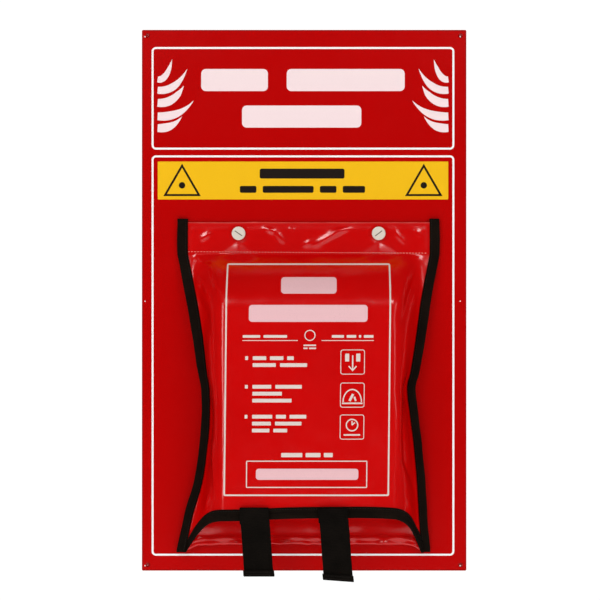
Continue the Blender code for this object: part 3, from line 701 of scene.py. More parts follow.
def header_relief(grid):
    """How far the header stands out from flat: creases, and a tent below each stud."""
    x, z = grid[:, :, 0], grid[:, :, 2]
    relief = 0.0007 * (1 + noise_grid(grid, 38.0, 2))
    for line, half_width, height in HEADER_CREASES:
        relief = relief + crease(x, z, line, half_width, height)
    top = smooth_step(HEADER_TOP - 0.0018 - z, 0.0, 0.008)
    relief = relief * top
    for centre_x, centre_z in STUDS:
        tent_top = centre_z - STUD_TENT_DROP
        down = np.clip((tent_top - z) / (tent_top - HINGE_Z), 0.0, 1.0)
        half = STUD_TENT_TOP_HALF_WIDTH + STUD_TENT_HALF_WIDTH * down
        tent = np.clip(1 - np.abs(x - centre_x) / half, 0.0, 1.0) ** 0.8
        relief = np.maximum(relief, STUD_TENT_HEIGHT * down * tent)
        away = np.hypot(x - centre_x, z - centre_z)
        relief = relief * smooth_step(away, 0.0072, 0.0120)
    return relief


def panel_relief(grid):
    """The front panel's creases and soft dents."""
    x, z = grid[:, :, 0], grid[:, :, 2]
    relief = 0.0006 * noise_grid(grid, 22.0, 5) + 0.00022 * noise_grid(grid, 70.0, 6)
    for line, half_width, height in PANEL_CREASES:
        relief = relief + crease(x, z, line, half_width, height)
    return relief


# ---- Sheets of the pouch ----------------------------------------------------------------------------

HEADER_ROWS = 24
FOLD_STEPS = 8
TUCK_TOP = 0.0640
TUCK_BOTTOM = 0.0545
LIP_HEIGHT = 0.011
LIP_CURLS = (0.0022, 0.0034, 0.0020)
LIP_DROPS = (0.0016, 0.0013, 0.0007)
LIP_FOLD_LEVELS = (0.0085, 0.0016)
LIP_FOLD_HEIGHT = 0.0017
LIP_FOLD_HALF = 0.0018
LIP_DENT = 0.0008
HEM_FADE = 0.075
TOP_WAVE = 0.0005
STUD_HOLE_RADIUS = 0.0044
LIP_WAVES = ((62.0, (8.0, 2.0)), (24.0, (4.0, 6.0)), (130.0, (1.0, 9.0)))


def front_sheet_grid():
    """The front sheet: up the header's hidden layer, over the fold, and down to the hem."""
    panel = panel_grid(True)
    across = panel[0][:, 0]
    radius = (HEADER_LAYER - HEADER_INNER_LAYER) / 2
    fold_z = HEADER_TOP - radius - SHEET / 2
    levels = np.linspace(HEADER_BOTTOM + 0.004, fold_z, HEADER_ROWS)[:-1]
    hidden = len(levels)
    path = [(HEADER_INNER_LAYER, z) for z in levels]
    for step in range(FOLD_STEPS + 1):
        angle = math.pi * (1 - step / FOLD_STEPS)
        path.append((HEADER_MIDDLE + radius * math.cos(angle), fold_z + radius * math.sin(angle)))
    panel_top_depth = -panel[0][0, 1]
    for z in np.linspace(fold_z, POUCH_TOP, HEADER_ROWS + 1)[1:-1]:
        share = float(smooth_step(z, POUCH_TOP, POUCH_TOP + 0.010))
        path.append((panel_top_depth + share * (HEADER_LAYER - panel_top_depth), z))
    header = np.array([[(x, -d, z) for x in across] for d, z in path])
    grid = np.concatenate([header, panel])
    wave = TOP_WAVE * np.array([noise.noise(Vector((x * 28.0, 3.0, 1.0))) for x in across])
    row = np.arange(len(grid))
    rows_down = row - (hidden + FOLD_STEPS / 2)
    droop = np.exp(-((rows_down / 9.0) ** 2))[:, None] * wave[None, :]
    grid[:, :, 2] += droop
    shift = np.array([hem_shift(x) for x in grid[-1, :, 0]])
    near_hem = smooth_step(-grid[:, :, 2], -MOUTH_Z - HEM_FADE, -MOUTH_Z)
    grid[:, :, 2] += near_hem * shift[None, :]
    is_front = (row > hidden + FOLD_STEPS)[:, None]
    at_header = smooth_step(grid[:, :, 2], POUCH_TOP - 0.010, POUCH_TOP + 0.002)
    relief = at_header * header_relief(grid) + (1 - at_header) * panel_relief(grid)
    relief = relief * is_front * edge_fade(grid)
    # Painted highlight: a band a few rows wide along the top fold, a little uneven
    from_fold = (row - (hidden + FOLD_STEPS * 0.72))[:, None]
    wear = np.exp(-((from_fold / 1.6) ** 2)) * (0.55 + 0.35 * noise_grid(grid, 90.0, 15))
    return grid + normals_of(grid) * relief[:, :, None], hidden, wear


# The hem's level along the front: x, and how far it lies above its CAD level
HEM_LEVEL = [
    (-0.150, 0.0), (-0.102, -0.0014), (-0.068, -0.0011), (-0.030, 0.0006), (-0.005, 0.0014),
    (0.040, 0.0019), (0.068, 0.0019), (0.096, 0.0007), (0.112, -0.0017), (0.130, -0.0010), (0.150, 0.0),
]


def hem_shift(x):
    """How far the hem lies above its CAD level."""
    return smooth_value(HEM_LEVEL, float(x))


def side_fade(grid, reach):
    """0 under the side tapes, and 1 from some columns inside them."""
    column = np.arange(grid.shape[1])
    inside = np.minimum(column, column[::-1]).astype(float)
    return smooth_step(inside, HIDDEN_COLUMNS + 1.0, HIDDEN_COLUMNS + reach)


def edge_fade(grid):
    """0 under the side tapes, 1 a few millimetres inside them, and 0 again at the last row."""
    sides = side_fade(grid, 7.0)
    rows = np.arange(grid.shape[0])[::-1].astype(float)
    lower = smooth_step(rows, 5.0, 16.0)
    return sides[None, :] * lower[:, None]


def back_sheet_grid():
    """The back sheet, tucked into the header, with a curled and rippled lower edge."""
    panel = panel_grid(False)
    across = panel[0][:, 0]
    tucked = []
    for z in np.linspace(TUCK_TOP, POUCH_TOP, 12)[:-1]:
        share = float(smooth_step(z, POUCH_TOP, TUCK_BOTTOM))
        tucked.append([(x, y + share * (-HEADER_MIDDLE - y), z) for x, y in zip(across, panel[0][:, 1])])
    grid = np.concatenate([np.array(tucked), panel])
    z = grid[:, :, 2]
    lowest = grid[-1, :, 2][None, :]
    low = smooth_step(lowest + LIP_HEIGHT - z, 0.0, LIP_HEIGHT)
    ripple, slow, fine = (
        np.array([noise.noise(Vector((x * scale, *seed))) for x in grid[-1, :, 0]])
        for scale, seed in LIP_WAVES
    )
    middle = side_fade(grid, 14.0)[None, :]
    even, rippled, slowly = LIP_CURLS
    curl = low * middle * (even + rippled * ripple[None, :] + slowly * slow[None, :])
    fold_z = lowest + LIP_FOLD_LEVELS[0] + LIP_FOLD_LEVELS[1] * slow[None, :]
    from_fold = np.abs(z - fold_z) / LIP_FOLD_HALF
    curl = curl + middle * LIP_FOLD_HEIGHT * np.exp(-(from_fold ** 1.6))
    dent = smooth_step(MOUTH_Z - 0.004 - z, 0.0, 0.01) * (1 - low) * middle
    curl = curl + dent * LIP_DENT * (1 + noise_grid(grid, 60.0, 9))
    grid[:, :, 1] -= np.maximum(curl, 0.0)
    even, slowly, finely = LIP_DROPS
    grid[:, :, 2] += low * middle * (even + slowly * slow + finely * fine)[None, :]
    return grid


def cut_stud_holes(obj):
    """Opens the sheet round each stud, under its screw head."""
    shape = bmesh.new()
    shape.from_mesh(obj.data)
    doomed = []
    for face in shape.faces:
        centre = face.calc_center_median()
        if any(math.hypot(centre.x - x, centre.z - z) < STUD_HOLE_RADIUS for x, z in STUDS):
            doomed.append(face)
    bmesh.ops.delete(shape, geom=doomed, context="FACES")
    shape.to_mesh(obj.data)
    shape.free()


def sheet_piece(name, grid, nodes, material, slot, thickness, strand=None):
    """A sheet through a grid of points, in the place of CAD nodes."""
    if strand is None:
        strand = np.stack([lengths_along(grid, 1), lengths_along(grid, 0)], axis=2)
    obj = new_piece(name, grid, grid_faces(*grid.shape[:2]), material, strand)
    thicken(obj, thickness)
    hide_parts(*nodes)
    return obj


def swing(obj):
    """Bakes a piece's placement into its mesh."""
    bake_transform(obj)


def with_board(obj):
    """Fixes a piece to the board."""
    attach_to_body(obj, "board")


def with_pouch(obj):
    """Fixes a piece to the pouch."""
    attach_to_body(obj, "pouch")


front_grid, hidden_rows, front_highlight = front_sheet_grid()
back_grid = back_sheet_grid()
vinyl_look = (pouch_vinyl, "pouch_vinyl", SHEET)
front_sheet = sheet_piece("front_sheet", front_grid, ("pouch_front", "pouch_header"), *vinyl_look)
back_sheet = sheet_piece("back_sheet", back_grid, ("pouch_back",), *vinyl_look)
set_painted_highlight(front_sheet, front_highlight)
cut_stud_holes(front_sheet)
seen_grid = front_grid[hidden_rows + FOLD_STEPS:]
front_tree = BVHTree.FromPolygons(
    [Vector(point) for point in seen_grid.reshape(-1, 3)],
    [list(map(int, face)) for face in grid_faces(*seen_grid.shape[:2])],
)


# ---- Edge tapes -------------------------------------------------------------------------------------

TAPE_FLAT_STEPS = 5
TAPE_FOLD_STEPS = 6
SIDE_TAPE_ROWS = 190
HEM_TAPE_ROWS = 8
TAPE_OVERRUN = 0.0010
TAPE_LIFT = 0.0013
TAPE_TOP_WIDTH = {-1: 0.0113, 1: 0.0106}
TAPE_LOWER_WIDTHS = [(0.45, 0.0091), (1.0, 0.0092)]
TAPE_WAVE = 0.0006
TAPE_FOLD_REACH = 0.0007
TAPE_STITCH_PITCH = 0.0028
TAPE_STITCH_LENGTH = 0.0022
SEAM_END = POUCH_TOP - SEAM_LENGTH


def tape_section():
    """The tape's folded section as (share across the width, share of the offset): 1 front, -1 back."""
    flat, fold = TAPE_FLAT_STEPS, TAPE_FOLD_STEPS
    section = [(step / flat, 1.0) for step in range(flat)]
    section += [(1.0, math.cos(math.pi * step / fold)) for step in range(fold + 1)]
    section += [(1 - step / flat, -1.0) for step in range(1, flat + 1)]
    return section


def side_tape_width(side, fraction):
    """How wide the tape lies: turned flat at the top, partly on edge from the waist down."""
    top = TAPE_TOP_WIDTH[side]
    return smooth_value([(0.0, top), (0.26, top), *TAPE_LOWER_WIDTHS], fraction)


def side_tape_grid(side):
    """Rows down the side seam; each goes from the front inner edge round the fold to the back."""
    rows = []
    for z in np.linspace(TAPE_TOP, SEAM_END - TAPE_OVERRUN, SIDE_TAPE_ROWS):
        outer, lean, depth = seam_line(side, z)
        above = float(smooth_step(z, POUCH_TOP - 0.006, POUCH_TOP + 0.004))
        offset = SIDE_TAPE_OFFSET + above * (HEADER_TAPE_OFFSET - SIDE_TAPE_OFFSET)
        low_end = float(smooth_step(-z, -(SEAM_END + 0.026), -(SEAM_END + 0.014)))
        lift = TAPE_LIFT * low_end if side < 0 else 0.0
        wave = TAPE_WAVE * noise.noise(Vector((side * 3.0, 0.0, z * 38.0)))
        width = side_tape_width(side, min(1.0, max(0.0, (POUCH_TOP - z) / SEAM_LENGTH)))
        fold = outer - (TAPE / 2 - wave) * lean
        fold = fold + 0.35 * (width - SIDE_TAPE_WIDTH) * lean
        inner = fold - (width + 0.8 * wave) * lean
        row = []
        for share, turn in tape_section():
            x = inner + (fold - inner) * share
            if share >= 1.0:
                x = fold - 0.5 * offset + 0.5 * offset * math.sqrt(max(0.0, 1 - turn * turn))
            reach = offset + lift * max(turn, 0.0)
            row.append((CENTRE_X + side * x, -(depth + turn * reach), z))
        rows.append(row)
    return np.array(rows)


def hem_tape_grid():
    """Sections along the lower edge; each goes from the front upper edge round to the back."""
    normals = normals_of(front_grid)
    count = front_grid.shape[1]
    middle = count // 2
    last = len(front_grid) - 1
    first = last
    while front_grid[first, middle, 2] < front_grid[last, middle, 2] + HEM_TAPE_WIDTH:
        first -= 1
    picks = [int(round(pick)) for pick in np.linspace(first, last, HEM_TAPE_ROWS)]
    sections = []
    for column in range(HIDDEN_COLUMNS - 1, count - HIDDEN_COLUMNS + 1):
        end = (count - 1 - column) / count
        lift = TAPE_LIFT * float(smooth_step(-end, -0.070, -0.045))
        lower = front_grid[last, column]
        down = lower - front_grid[first, column]
        front_side, back_side = [], []
        for pick in picks:
            point, normal = front_grid[pick, column], normals[pick, column]
            front_side.append(point + normal * (HEM_TAPE_OFFSET + lift))
            back_side.append(point - normal * HEM_TAPE_OFFSET)
        normal = normals[last, column]
        following = front_grid[last, min(column + 1, count - 1)]
        past = np.cross(following - front_grid[last, column - 1], normal)
        past = past / np.linalg.norm(past)
        if np.dot(past, down) < 0:
            past = -past
        fold = []
        for step in range(1, TAPE_FOLD_STEPS):
            angle = math.pi * step / TAPE_FOLD_STEPS
            reach = HEM_TAPE_OFFSET + (lift if angle < math.pi / 2 else 0.0)
            beyond = past * (TAPE_FOLD_REACH * math.sin(angle))
            fold.append(lower + beyond + normal * reach * math.cos(angle))
        sections.append(front_side + fold + back_side[::-1])
    return np.array(sections).transpose(1, 0, 2)


def tape_stitches(name, line, normals, attach):
    """A row of lock stitches along a line on a tape's front."""
    steps = np.linalg.norm(np.diff(line, axis=0), axis=1)
    travelled = np.concatenate([[0.0], np.cumsum(steps)])
    seats = []
    for index in range(int(travelled[-1] / TAPE_STITCH_PITCH)):
        at = (index + 0.5) * TAPE_STITCH_PITCH
        step = min(np.searchsorted(travelled, at), len(line) - 1)
        place = Vector([np.interp(at, travelled, line[:, axis]) for axis in range(3)])
        up = Vector(normals[step]).normalized()
        if up.y > 0:
            up = -up
        way = Vector(line[step] - line[step - 1]).normalized()
        seats.append((place + up * (TAPE / 2), up, way))
    thread = plastic["black_thread"]
    attach(stitches(name, seats, TAPE_STITCH_LENGTH, THREAD, thread, "black_tape"))


tape_look = (black_tape, "black_tape", TAPE)
side_tapes = {}
for side_name, side in SIDES:
    grid = side_tape_grid(side)
    nodes = (f"{side_name}_side_binding", f"{side_name}_header_binding")
    side_tapes[side_name] = sheet_piece(f"{side_name}_edge_tape", grid, nodes, *tape_look)
    tape_stitches(f"{side_name}_edge_stitches", grid[:, 1], normals_of(grid)[:, 1], swing)
    swing(side_tapes[side_name])
grid = hem_tape_grid()
hem_tape = sheet_piece("hem_tape", grid, ("mouth_binding",), *tape_look)
with_pouch(hem_tape)
tape_stitches("hem_stitches", grid[1], normals_of(grid)[1], with_pouch)


# ---- Stitching of the header ------------------------------------------------------------------------

HEADER_PITCH = 0.0034
HEADER_STITCH_LENGTH = 0.0019
HEADER_THREAD = 0.00038
HEADER_SEAM_RISE = 0.0024
HEADER_SEAM_SAG = 0.0016


def on_front(x, z, lift):
    """The place on the front sheet's outer face seen at (x, z), and its normal."""
    hit, normal, _, _ = front_tree.ray_cast(Vector((x, -0.5, z)), Vector((0.0, 1.0, 0.0)))
    if hit is None:
        raise ValueError(f"nothing of the front sheet is seen at {x:.4f}, {z:.4f}")
    if normal.y > 0:
        normal = -normal
    return hit + normal * (SHEET / 2 + lift), normal


def make_header_stitches():
    """A row of stitches just above the hinge line, a little lower towards the right."""
    half = POUCH_HALF - SIDE_TAPE_WIDTH - 0.0015
    seats = []
    for index in range(int(2 * half / HEADER_PITCH)):
        x = CENTRE_X - half + (index + 0.5) * HEADER_PITCH
        z = HINGE_Z + HEADER_SEAM_RISE - HEADER_SEAM_SAG * (x - CENTRE_X + half) / (2 * half)
        seats.append((*on_front(x, z, 0.0), Vector((1.0, 0.0, 0.0))))
    size = (HEADER_STITCH_LENGTH, HEADER_THREAD)
    # Pale pink thread: a painted highlight on the red stitches
    swing(stitches("header_stitches", seats, *size, plastic["pale_thread"], "pouch_vinyl"))


make_header_stitches()


# ---- Print ------------------------------------------------------------------------------------------

class Print:
    """Collects printed shapes as patches of points in the plane of the print."""

    def __init__(self, cell):
        """The points of a patch are no further apart than a cell, in metres."""
        self.cell = cell
        self.points = []
        self.faces = []

    def patch(self, rows):
        """Adds a patch through rows of points."""
        start = len(self.points)
        for row in rows:
            self.points.extend(row)
        self.faces.extend(grid_faces(len(rows), len(rows[0]), False, start).tolist())

    def bar(self, left, right, bottom, top, radius=0.0006):
        """A bar with rounded corners."""
        radius = min(radius, (top - bottom) / 2, (right - left) / 2)
        middle, half = (bottom + top) / 2, (top - bottom) / 2
        count = max(2, math.ceil((right - left - 2 * radius) / self.cell))
        insets = [radius * (1 - math.cos(math.pi / 8 * step)) for step in range(4)]
        across = [left + inset for inset in insets]
        across += list(np.linspace(left + radius, right - radius, count + 1))
        across += [right - inset for inset in insets[::-1]]
        heights = []
        for x in across:
            inside = min(x - left, right - x, radius)
            heights.append(half - radius + math.sqrt(max(0.0, radius**2 - (radius - inside) ** 2)))
        levels = max(1, math.ceil(2 * half / self.cell))
        rows = []
        for level in range(levels + 1):
            share = 1 - 2 * level / levels
            rows.append([(x, middle + share * max(size, 1e-5)) for x, size in zip(across, heights)])
        self.patch(rows)

    def words(self, left, right, bottom, top, letters, radius=0.0006):
        """A line of text stood for by one bar for each word; letters counts each word's characters."""
        unit = (right - left) / (sum(letters) + len(letters) - 1)
        at = left
        for count in letters:
            self.bar(at, at + count * unit - 0.1 * unit, bottom, top, radius)
            at += (count + 1) * unit

    def stroke(self, line, width, closed=False):
        """A line of even or tapering width; width may be a function of the share along it."""
        points = resampled(line, self.cell, closed)
        count = len(points)
        left, right = [], []
        for index, (x, z) in enumerate(points):
            before = points[(index - 1) % count] if closed or index else points[index]
            after = points[(index + 1) % count] if closed or index < count - 1 else points[index]
            first = Vector((x - before[0], z - before[1]))
            second = Vector((after[0] - x, after[1] - z))
            first = first.normalized() if first.length > 1e-9 else second.normalized()
            second = second.normalized() if second.length > 1e-9 else first
            tangent = (first + second).normalized()
            side = Vector((-tangent.y, tangent.x))
            mitre = 1 / max(0.5, side.dot(Vector((-first.y, first.x))))
            size = width(index / (count - 1)) if callable(width) else width
            reach = max(size, 1e-5) / 2 * mitre
            left.append((x + side.x * reach, z + side.y * reach))
            right.append((x - side.x * reach, z - side.y * reach))
        if closed:
            left.append(left[0])
            right.append(right[0])
        self.patch([right, left])

    def disc(self, x, z, radius):
        """A round spot."""
        self.bar(x - radius, x + radius, z - radius, z + radius, radius)

    def ring(self, x, z, radius, width):
        """A circle drawn with a line of this width."""
        turns = [math.tau * index / 32 for index in range(32)]
        self.stroke([(x + radius * math.cos(a), z + radius * math.sin(a)) for a in turns], width, True)

    def lay(self, name, place, material, slot, attach):
        """Makes the print's thin piece, with each point put in place on the surface."""
        points = [place(x, z) for x, z in self.points]
        obj = new_piece(name, points, self.faces, material)
        if sum(polygon.normal.y for polygon in obj.data.polygons) > 0:
            obj.data.flip_normals()
        thicken(obj, INK)
        settle(obj, SHARP_EDGE)
        attach(obj)


def resampled(line, cell, closed):
    """The line with points no further apart than a cell; its own corners stay."""
    ends = list(zip(line, line[1:] + line[:1])) if closed else list(zip(line, line[1:]))
    points = []
    for (ax, az), (bx, bz) in ends:
        steps = max(1, math.ceil(math.hypot(bx - ax, bz - az) / cell))
        points += [(ax + (bx - ax) * i / steps, az + (bz - az) * i / steps) for i in range(steps)]
    if not closed:
        points.append(line[-1])
    return points


def box_line(left, right, bottom, top, radius):
    """A rectangle's outline with rounded corners."""
    line = []
    corners = (
        (right - radius, top - radius, 0), (left + radius, top - radius, 90),
        (left + radius, bottom + radius, 180), (right - radius, bottom + radius, 270),
    )
    for x, z, start in corners:
        for step in range(5):
            angle = math.radians(start + 90 * step / 4)
            line.append((x + radius * math.cos(angle), z + radius * math.sin(angle)))
    return line


# Print on the board, as (x, z) on its face
BOARD_PRINT_X = -0.0013
BOARD_CELL = 0.012
BLACK_CELL = 0.004
FLAME_CELL = 0.002
FACE_GAP = 0.00005
SECOND_LAYER = 1.2
LINE_WIDTH = 0.0021
OUTLINE_HALF = 0.1668
OUTLINE_CORNER = 0.0037
OUTLINES = [(0.1682, 0.2798), (-0.2822, 0.1596)]
BAND = (-0.1611, 0.1611, 0.1118, 0.1539, 0.0010)

# Bars for words: left, right, bottom, top, letters in each word, corner radius
TITLE = [
    (-0.1129, 0.1147, 0.2320, 0.2565, (4, 7), 0.0050),
    (-0.0676, 0.0666, 0.1915, 0.2160, (7,), 0.0050),
]
BAND_WORDS = [
    (-0.0480, 0.0475, 0.1350, 0.1460, (7,), 0.0022),
    (-0.0700, 0.0695, 0.1192, 0.1268, (3, 9, 3, 4), 0.0018),
]

# Pale glints of the screw holes at the corners and halfway up
GLINT_RADIUS = 0.0007
GLINT_PLACES = [(x, z) for x in (-0.1752, 0.1744) for z in (0.2924, -0.0010, -0.2944)]

# Triangles on the band, each with a spot in it: the spot's height and radius
TRIANGLE_PLACES = (-0.1341, 0.1340)
TRIANGLE_HALF = 0.0188
TRIANGLE_BOTTOM = 0.1167
TRIANGLE_TOP = 0.1492
TRIANGLE_LINE = 0.0023
SPOT = (0.1275, 0.0036)

# Tongues of a plain flame shape, upward: height of the base, reach, rise and width
FLAME_OUTSIDE = 0.1612
FLAME_BOTTOM = 0.1860
FLAME_STEPS = 20
FLAME_TONGUES = [
    (0.0050, 0.0270, 0.0130, 0.0085),
    (0.0180, 0.0400, 0.0175, 0.0085),
    (0.0330, 0.0290, 0.0190, 0.0085),
    (0.0470, 0.0330, 0.0240, 0.0075),
    (0.0590, 0.0160, 0.0220, 0.0065),
]


def tapered(width):
    """A stroke's width along its length: full near the base, and pointed at the end."""
    return lambda share: width * (1 - share) ** 0.75 * (1 + 0.5 * math.sin(3.4 * share))


def lay_on_board(shapes, name, ink_name, lift=0.0):
    """Lays print on the board's face, some layers of ink above it."""
    depth = FACE_FRONT + FACE_GAP + INK * (0.5 + lift)
    shapes.lay(
        name, lambda x, z: Vector((BOARD_PRINT_X + x, -depth, z)),
        ink[ink_name], "printed_sheet", with_board,
    )


def make_board_print():
    """Two outlines, bars for the title, painted glints at the screw holes, flames, and a band with bars
    and two triangles.
    """
    white = Print(BOARD_CELL)
    for bottom, top in OUTLINES:
        outline = box_line(-OUTLINE_HALF, OUTLINE_HALF, bottom, top, OUTLINE_CORNER)
        white.stroke(outline, LINE_WIDTH, True)
    lay_on_board(white, "board_print_white", "white_ink")
    pale = Print(BOARD_CELL)
    for line in TITLE:
        pale.words(*line)
    # Painted highlights: pale spots for the glints of the screw holes, laid with the title's ink
    for x, z in GLINT_PLACES:
        pale.disc(x, z, GLINT_RADIUS)
    lay_on_board(pale, "board_print_words", "pale_ink")
    flames = Print(FLAME_CELL)
    for side in (-1, 1):
        for base, reach, rise, width in FLAME_TONGUES:
            ends = ((0.0, base), (0.62 * reach, base - 0.10 * rise), (reach, base + rise))
            line = [bezier(ends, step / FLAME_STEPS) for step in range(FLAME_STEPS + 1)]
            line = [(side * (FLAME_OUTSIDE - u), FLAME_BOTTOM + v) for u, v in line]
            flames.stroke(line, tapered(width))
    lay_on_board(flames, "board_print_flames", "pale_ink")
    band = Print(BOARD_CELL)
    band.bar(*BAND)
    lay_on_board(band, "board_print_band", "yellow_ink")
    black = Print(BLACK_CELL)
    for x in TRIANGLE_PLACES:
        foot = [(x - TRIANGLE_HALF, TRIANGLE_BOTTOM), (x + TRIANGLE_HALF, TRIANGLE_BOTTOM)]
        black.stroke(foot + [(x, TRIANGLE_TOP)], TRIANGLE_LINE, True)
        black.disc(x, *SPOT)
    for line in BAND_WORDS:
        black.words(*line)
    lay_on_board(black, "board_print_black", "black_ink", SECOND_LAYER)


make_board_print()

# Print on the pouch, as (across from its centre, down from its top edge)
PRINT_X = 0.0061
PRINT_TOP = 0.0400
PRINT_LEAN = -0.0107
POUCH_CELL = 0.0022
INK_GAP = 0.00012

# Rectangles: left, right, top, bottom, corner radius, width of line
FRAMES = [
    (-0.0901, 0.0876, 0.0006, 0.2512, 0.0011, 0.0017),
    (-0.0662, 0.0640, 0.2143, 0.2427, 0.0007, 0.0011),
]

# Rules: their ends, and how far down they are; the mark is a plain ring
RULES = [(-0.0722, -0.0122), (0.0136, 0.0702)]
RULE_DROP = 0.0836
THIN_LINE = 0.0008
MARK = (0.0009, 0.0780, 0.0055, 0.0010)

# Pictures: their boxes, and their parts as (across from the middle, down from the box's top)
PICTURE_X = 0.0475
PICTURE_TOPS = (0.0938, 0.1296, 0.1642)
PICTURE_SIDES = (0.0347, 0.0603)
PICTURE_HEIGHT = 0.0262
PICTURE_CORNER = 0.0022
BAR_CORNER = 0.0004
DOME = [(0.0100 * math.cos(a), 0.0205 - 0.0135 * math.sin(a)) for a in np.linspace(0, math.pi, 17)]
PICTURE_BARS = [
    [(-0.0082, -0.0038, 0.0040, 0.0125), (0.0038, 0.0082, 0.0040, 0.0125)],
    [(-0.0112, 0.0112, 0.0212, 0.0228)],
    [(-0.0090, 0.0090, 0.0208, 0.0224)],
]
PICTURE_STROKES = [
    [
        ([(0.0, 0.0060), (0.0, 0.0215)], 0.0014),
        ([(-0.0042, 0.0175), (0.0, 0.0222), (0.0042, 0.0175)], 0.0013),
    ],
    [
        (DOME, 0.0013), ([(-0.0030, 0.0195), (0.0008, 0.0120)], 0.0026),
        ([(0.0038, 0.0195), (0.0022, 0.0150)], 0.0020),
    ],
    [([(0.0, 0.0110), (0.0030, 0.0082)], 0.0013), ([(0.0, 0.0110), (0.0, 0.0066)], 0.0013)],
]
CLOCK = (0.0110, 0.0062, 0.0013)

# Bars for words, as for the board but down from the print's top
BIG_WORDS = [
    (-0.0310, 0.0310, 0.0150, 0.0330, (4,), 0.0036),
    (-0.0655, 0.0650, 0.0450, 0.0634, (7,), 0.0036),
    (-0.0560, 0.0560, 0.2225, 0.2345, (10,), 0.0030),
]
SMALL_WORDS = [
    (-0.0719, -0.0236, 0.0777, 0.0806, (6, 8)),
    (0.0247, 0.0700, 0.0777, 0.0806, (5, 4, 1, 4)),
    (-0.0060, 0.0078, 0.0880, 0.0896, (8,), 0.0003),
    (-0.0060, 0.0078, 0.0912, 0.0928, (3, 5), 0.0003),
]
LAST_WORDS = (-0.0288, 0.0273, 0.2054, 0.2100, (7, 5, 3))

# Numbered lines: down from the print's top, then each line's right end and its words' letters
NUMBERED = [
    (0.1003, [(-0.0160, (4, 4, 2)), (-0.0014, (6, 7))]),
    (0.1313, [(-0.0069, (5, 7)), (-0.0285, (8,)), (-0.0179, (10,))]),
    (0.1637, [(-0.0018, (6, 3, 5)), (-0.0069, (5, 7)), (-0.0223, (5, 4))]),
]
NUMBER_SIDES = (-0.0690, -0.0655)
NUMBERED_LEFT = -0.0608
LETTER_TOP = 0.0004
LETTER_BOTTOM = 0.0044
LINE_PITCH = 0.0075


def on_pouch(u, w):
    """The place on the pouch's front of a point of its print."""
    x = PRINT_X + u + PRINT_LEAN * w
    return on_front(x, PRINT_TOP - w, INK_GAP + INK / 2)[0]


def draw_pictures(lines):
    """A pulled pair of tabs, a cover over flames, and a clock."""
    for top, bars, strokes in zip(PICTURE_TOPS, PICTURE_BARS, PICTURE_STROKES):
        box = box_line(*PICTURE_SIDES, top, top + PICTURE_HEIGHT, PICTURE_CORNER)
        lines.stroke(box, THIN_LINE, True)
        for left, right, high, low in bars:
            lines.bar(PICTURE_X + left, PICTURE_X + right, top + high, top + low, BAR_CORNER)
        for line, width in strokes:
            lines.stroke([(PICTURE_X + u, top + w) for u, w in line], width)
    drop, radius, width = CLOCK
    lines.ring(PICTURE_X, PICTURE_TOPS[2] + drop, radius, width)


def make_pouch_print():
    """A frame, bars for the words, a ring for the mark, and three plain pictures."""
    lines = Print(POUCH_CELL)
    for left, right, top, bottom, radius, width in FRAMES:
        lines.stroke(box_line(left, right, top, bottom, radius), width, True)
    for left, right in RULES:
        lines.stroke([(left, RULE_DROP), (right, RULE_DROP)], THIN_LINE)
    lines.ring(*MARK)
    draw_pictures(lines)
    words = Print(POUCH_CELL)
    for line in BIG_WORDS:
        words.words(*line)
    small = Print(POUCH_CELL)
    for line in SMALL_WORDS:
        small.words(*line)
    for w, texts in NUMBERED:
        small.words(*NUMBER_SIDES, w + LETTER_TOP, w + LETTER_BOTTOM, (1,))
        for right, letters in texts:
            small.words(NUMBERED_LEFT, right, w + LETTER_TOP, w + LETTER_BOTTOM, letters)
            w += LINE_PITCH
    small.words(*LAST_WORDS)
    layers = [
        (lines, "lines", "pouch_line_ink"), (words, "words", "pouch_ink"),
        (small, "small", "pouch_line_ink"),
    ]
    for shapes, name, ink_name in layers:
        shapes.lay(f"pouch_print_{name}", on_pouch, ink[ink_name], "pouch_vinyl", with_pouch)


make_pouch_print()


# ---- Folded blanket ---------------------------------------------------------------------------------

BLANKET_WIDTH = 1.200
BLANKET_LENGTH = 1.800
LAYERS_ACROSS = 6
LAYERS_DOWN = 7
CLOTH = 0.00045
STRIP_STEPS = (14, 4)
STACK_STEPS = (26, 8)
ROUNDING_SHARE = 0.8
UNEVEN_SIDES = 0.0016
UNEVEN_ENDS = 0.0016


def zigzag(length, layers, pitch, straight_steps, fold_steps):
    """A line folded to and fro, as (along, height, normal along, normal height, travelled)."""
    radius = pitch / 2
    run = (length - (layers - 1) * math.pi * radius) / layers
    points = []
    travelled = 0.0
    for layer in range(layers):
        way = 1 if layer % 2 == 0 else -1
        start = 0.0 if way > 0 else run
        last = layer == layers - 1
        for step in range(straight_steps + (1 if last else 0)):
            share = step / straight_steps
            points.append((start + way * run * share, layer * pitch, 0.0, way, travelled + run * share))
        travelled += run
        if last:
            break
        end = run if way > 0 else 0.0
        for step in range(fold_steps):
            turn = math.pi * step / fold_steps
            along = end + way * radius * math.sin(turn)
            height = layer * pitch + radius - radius * math.cos(turn)
            normal = (-math.sin(turn), way * math.cos(turn))
            points.append((along, height, *normal, travelled + radius * turn))
        travelled += math.pi * radius
    return np.array(points)


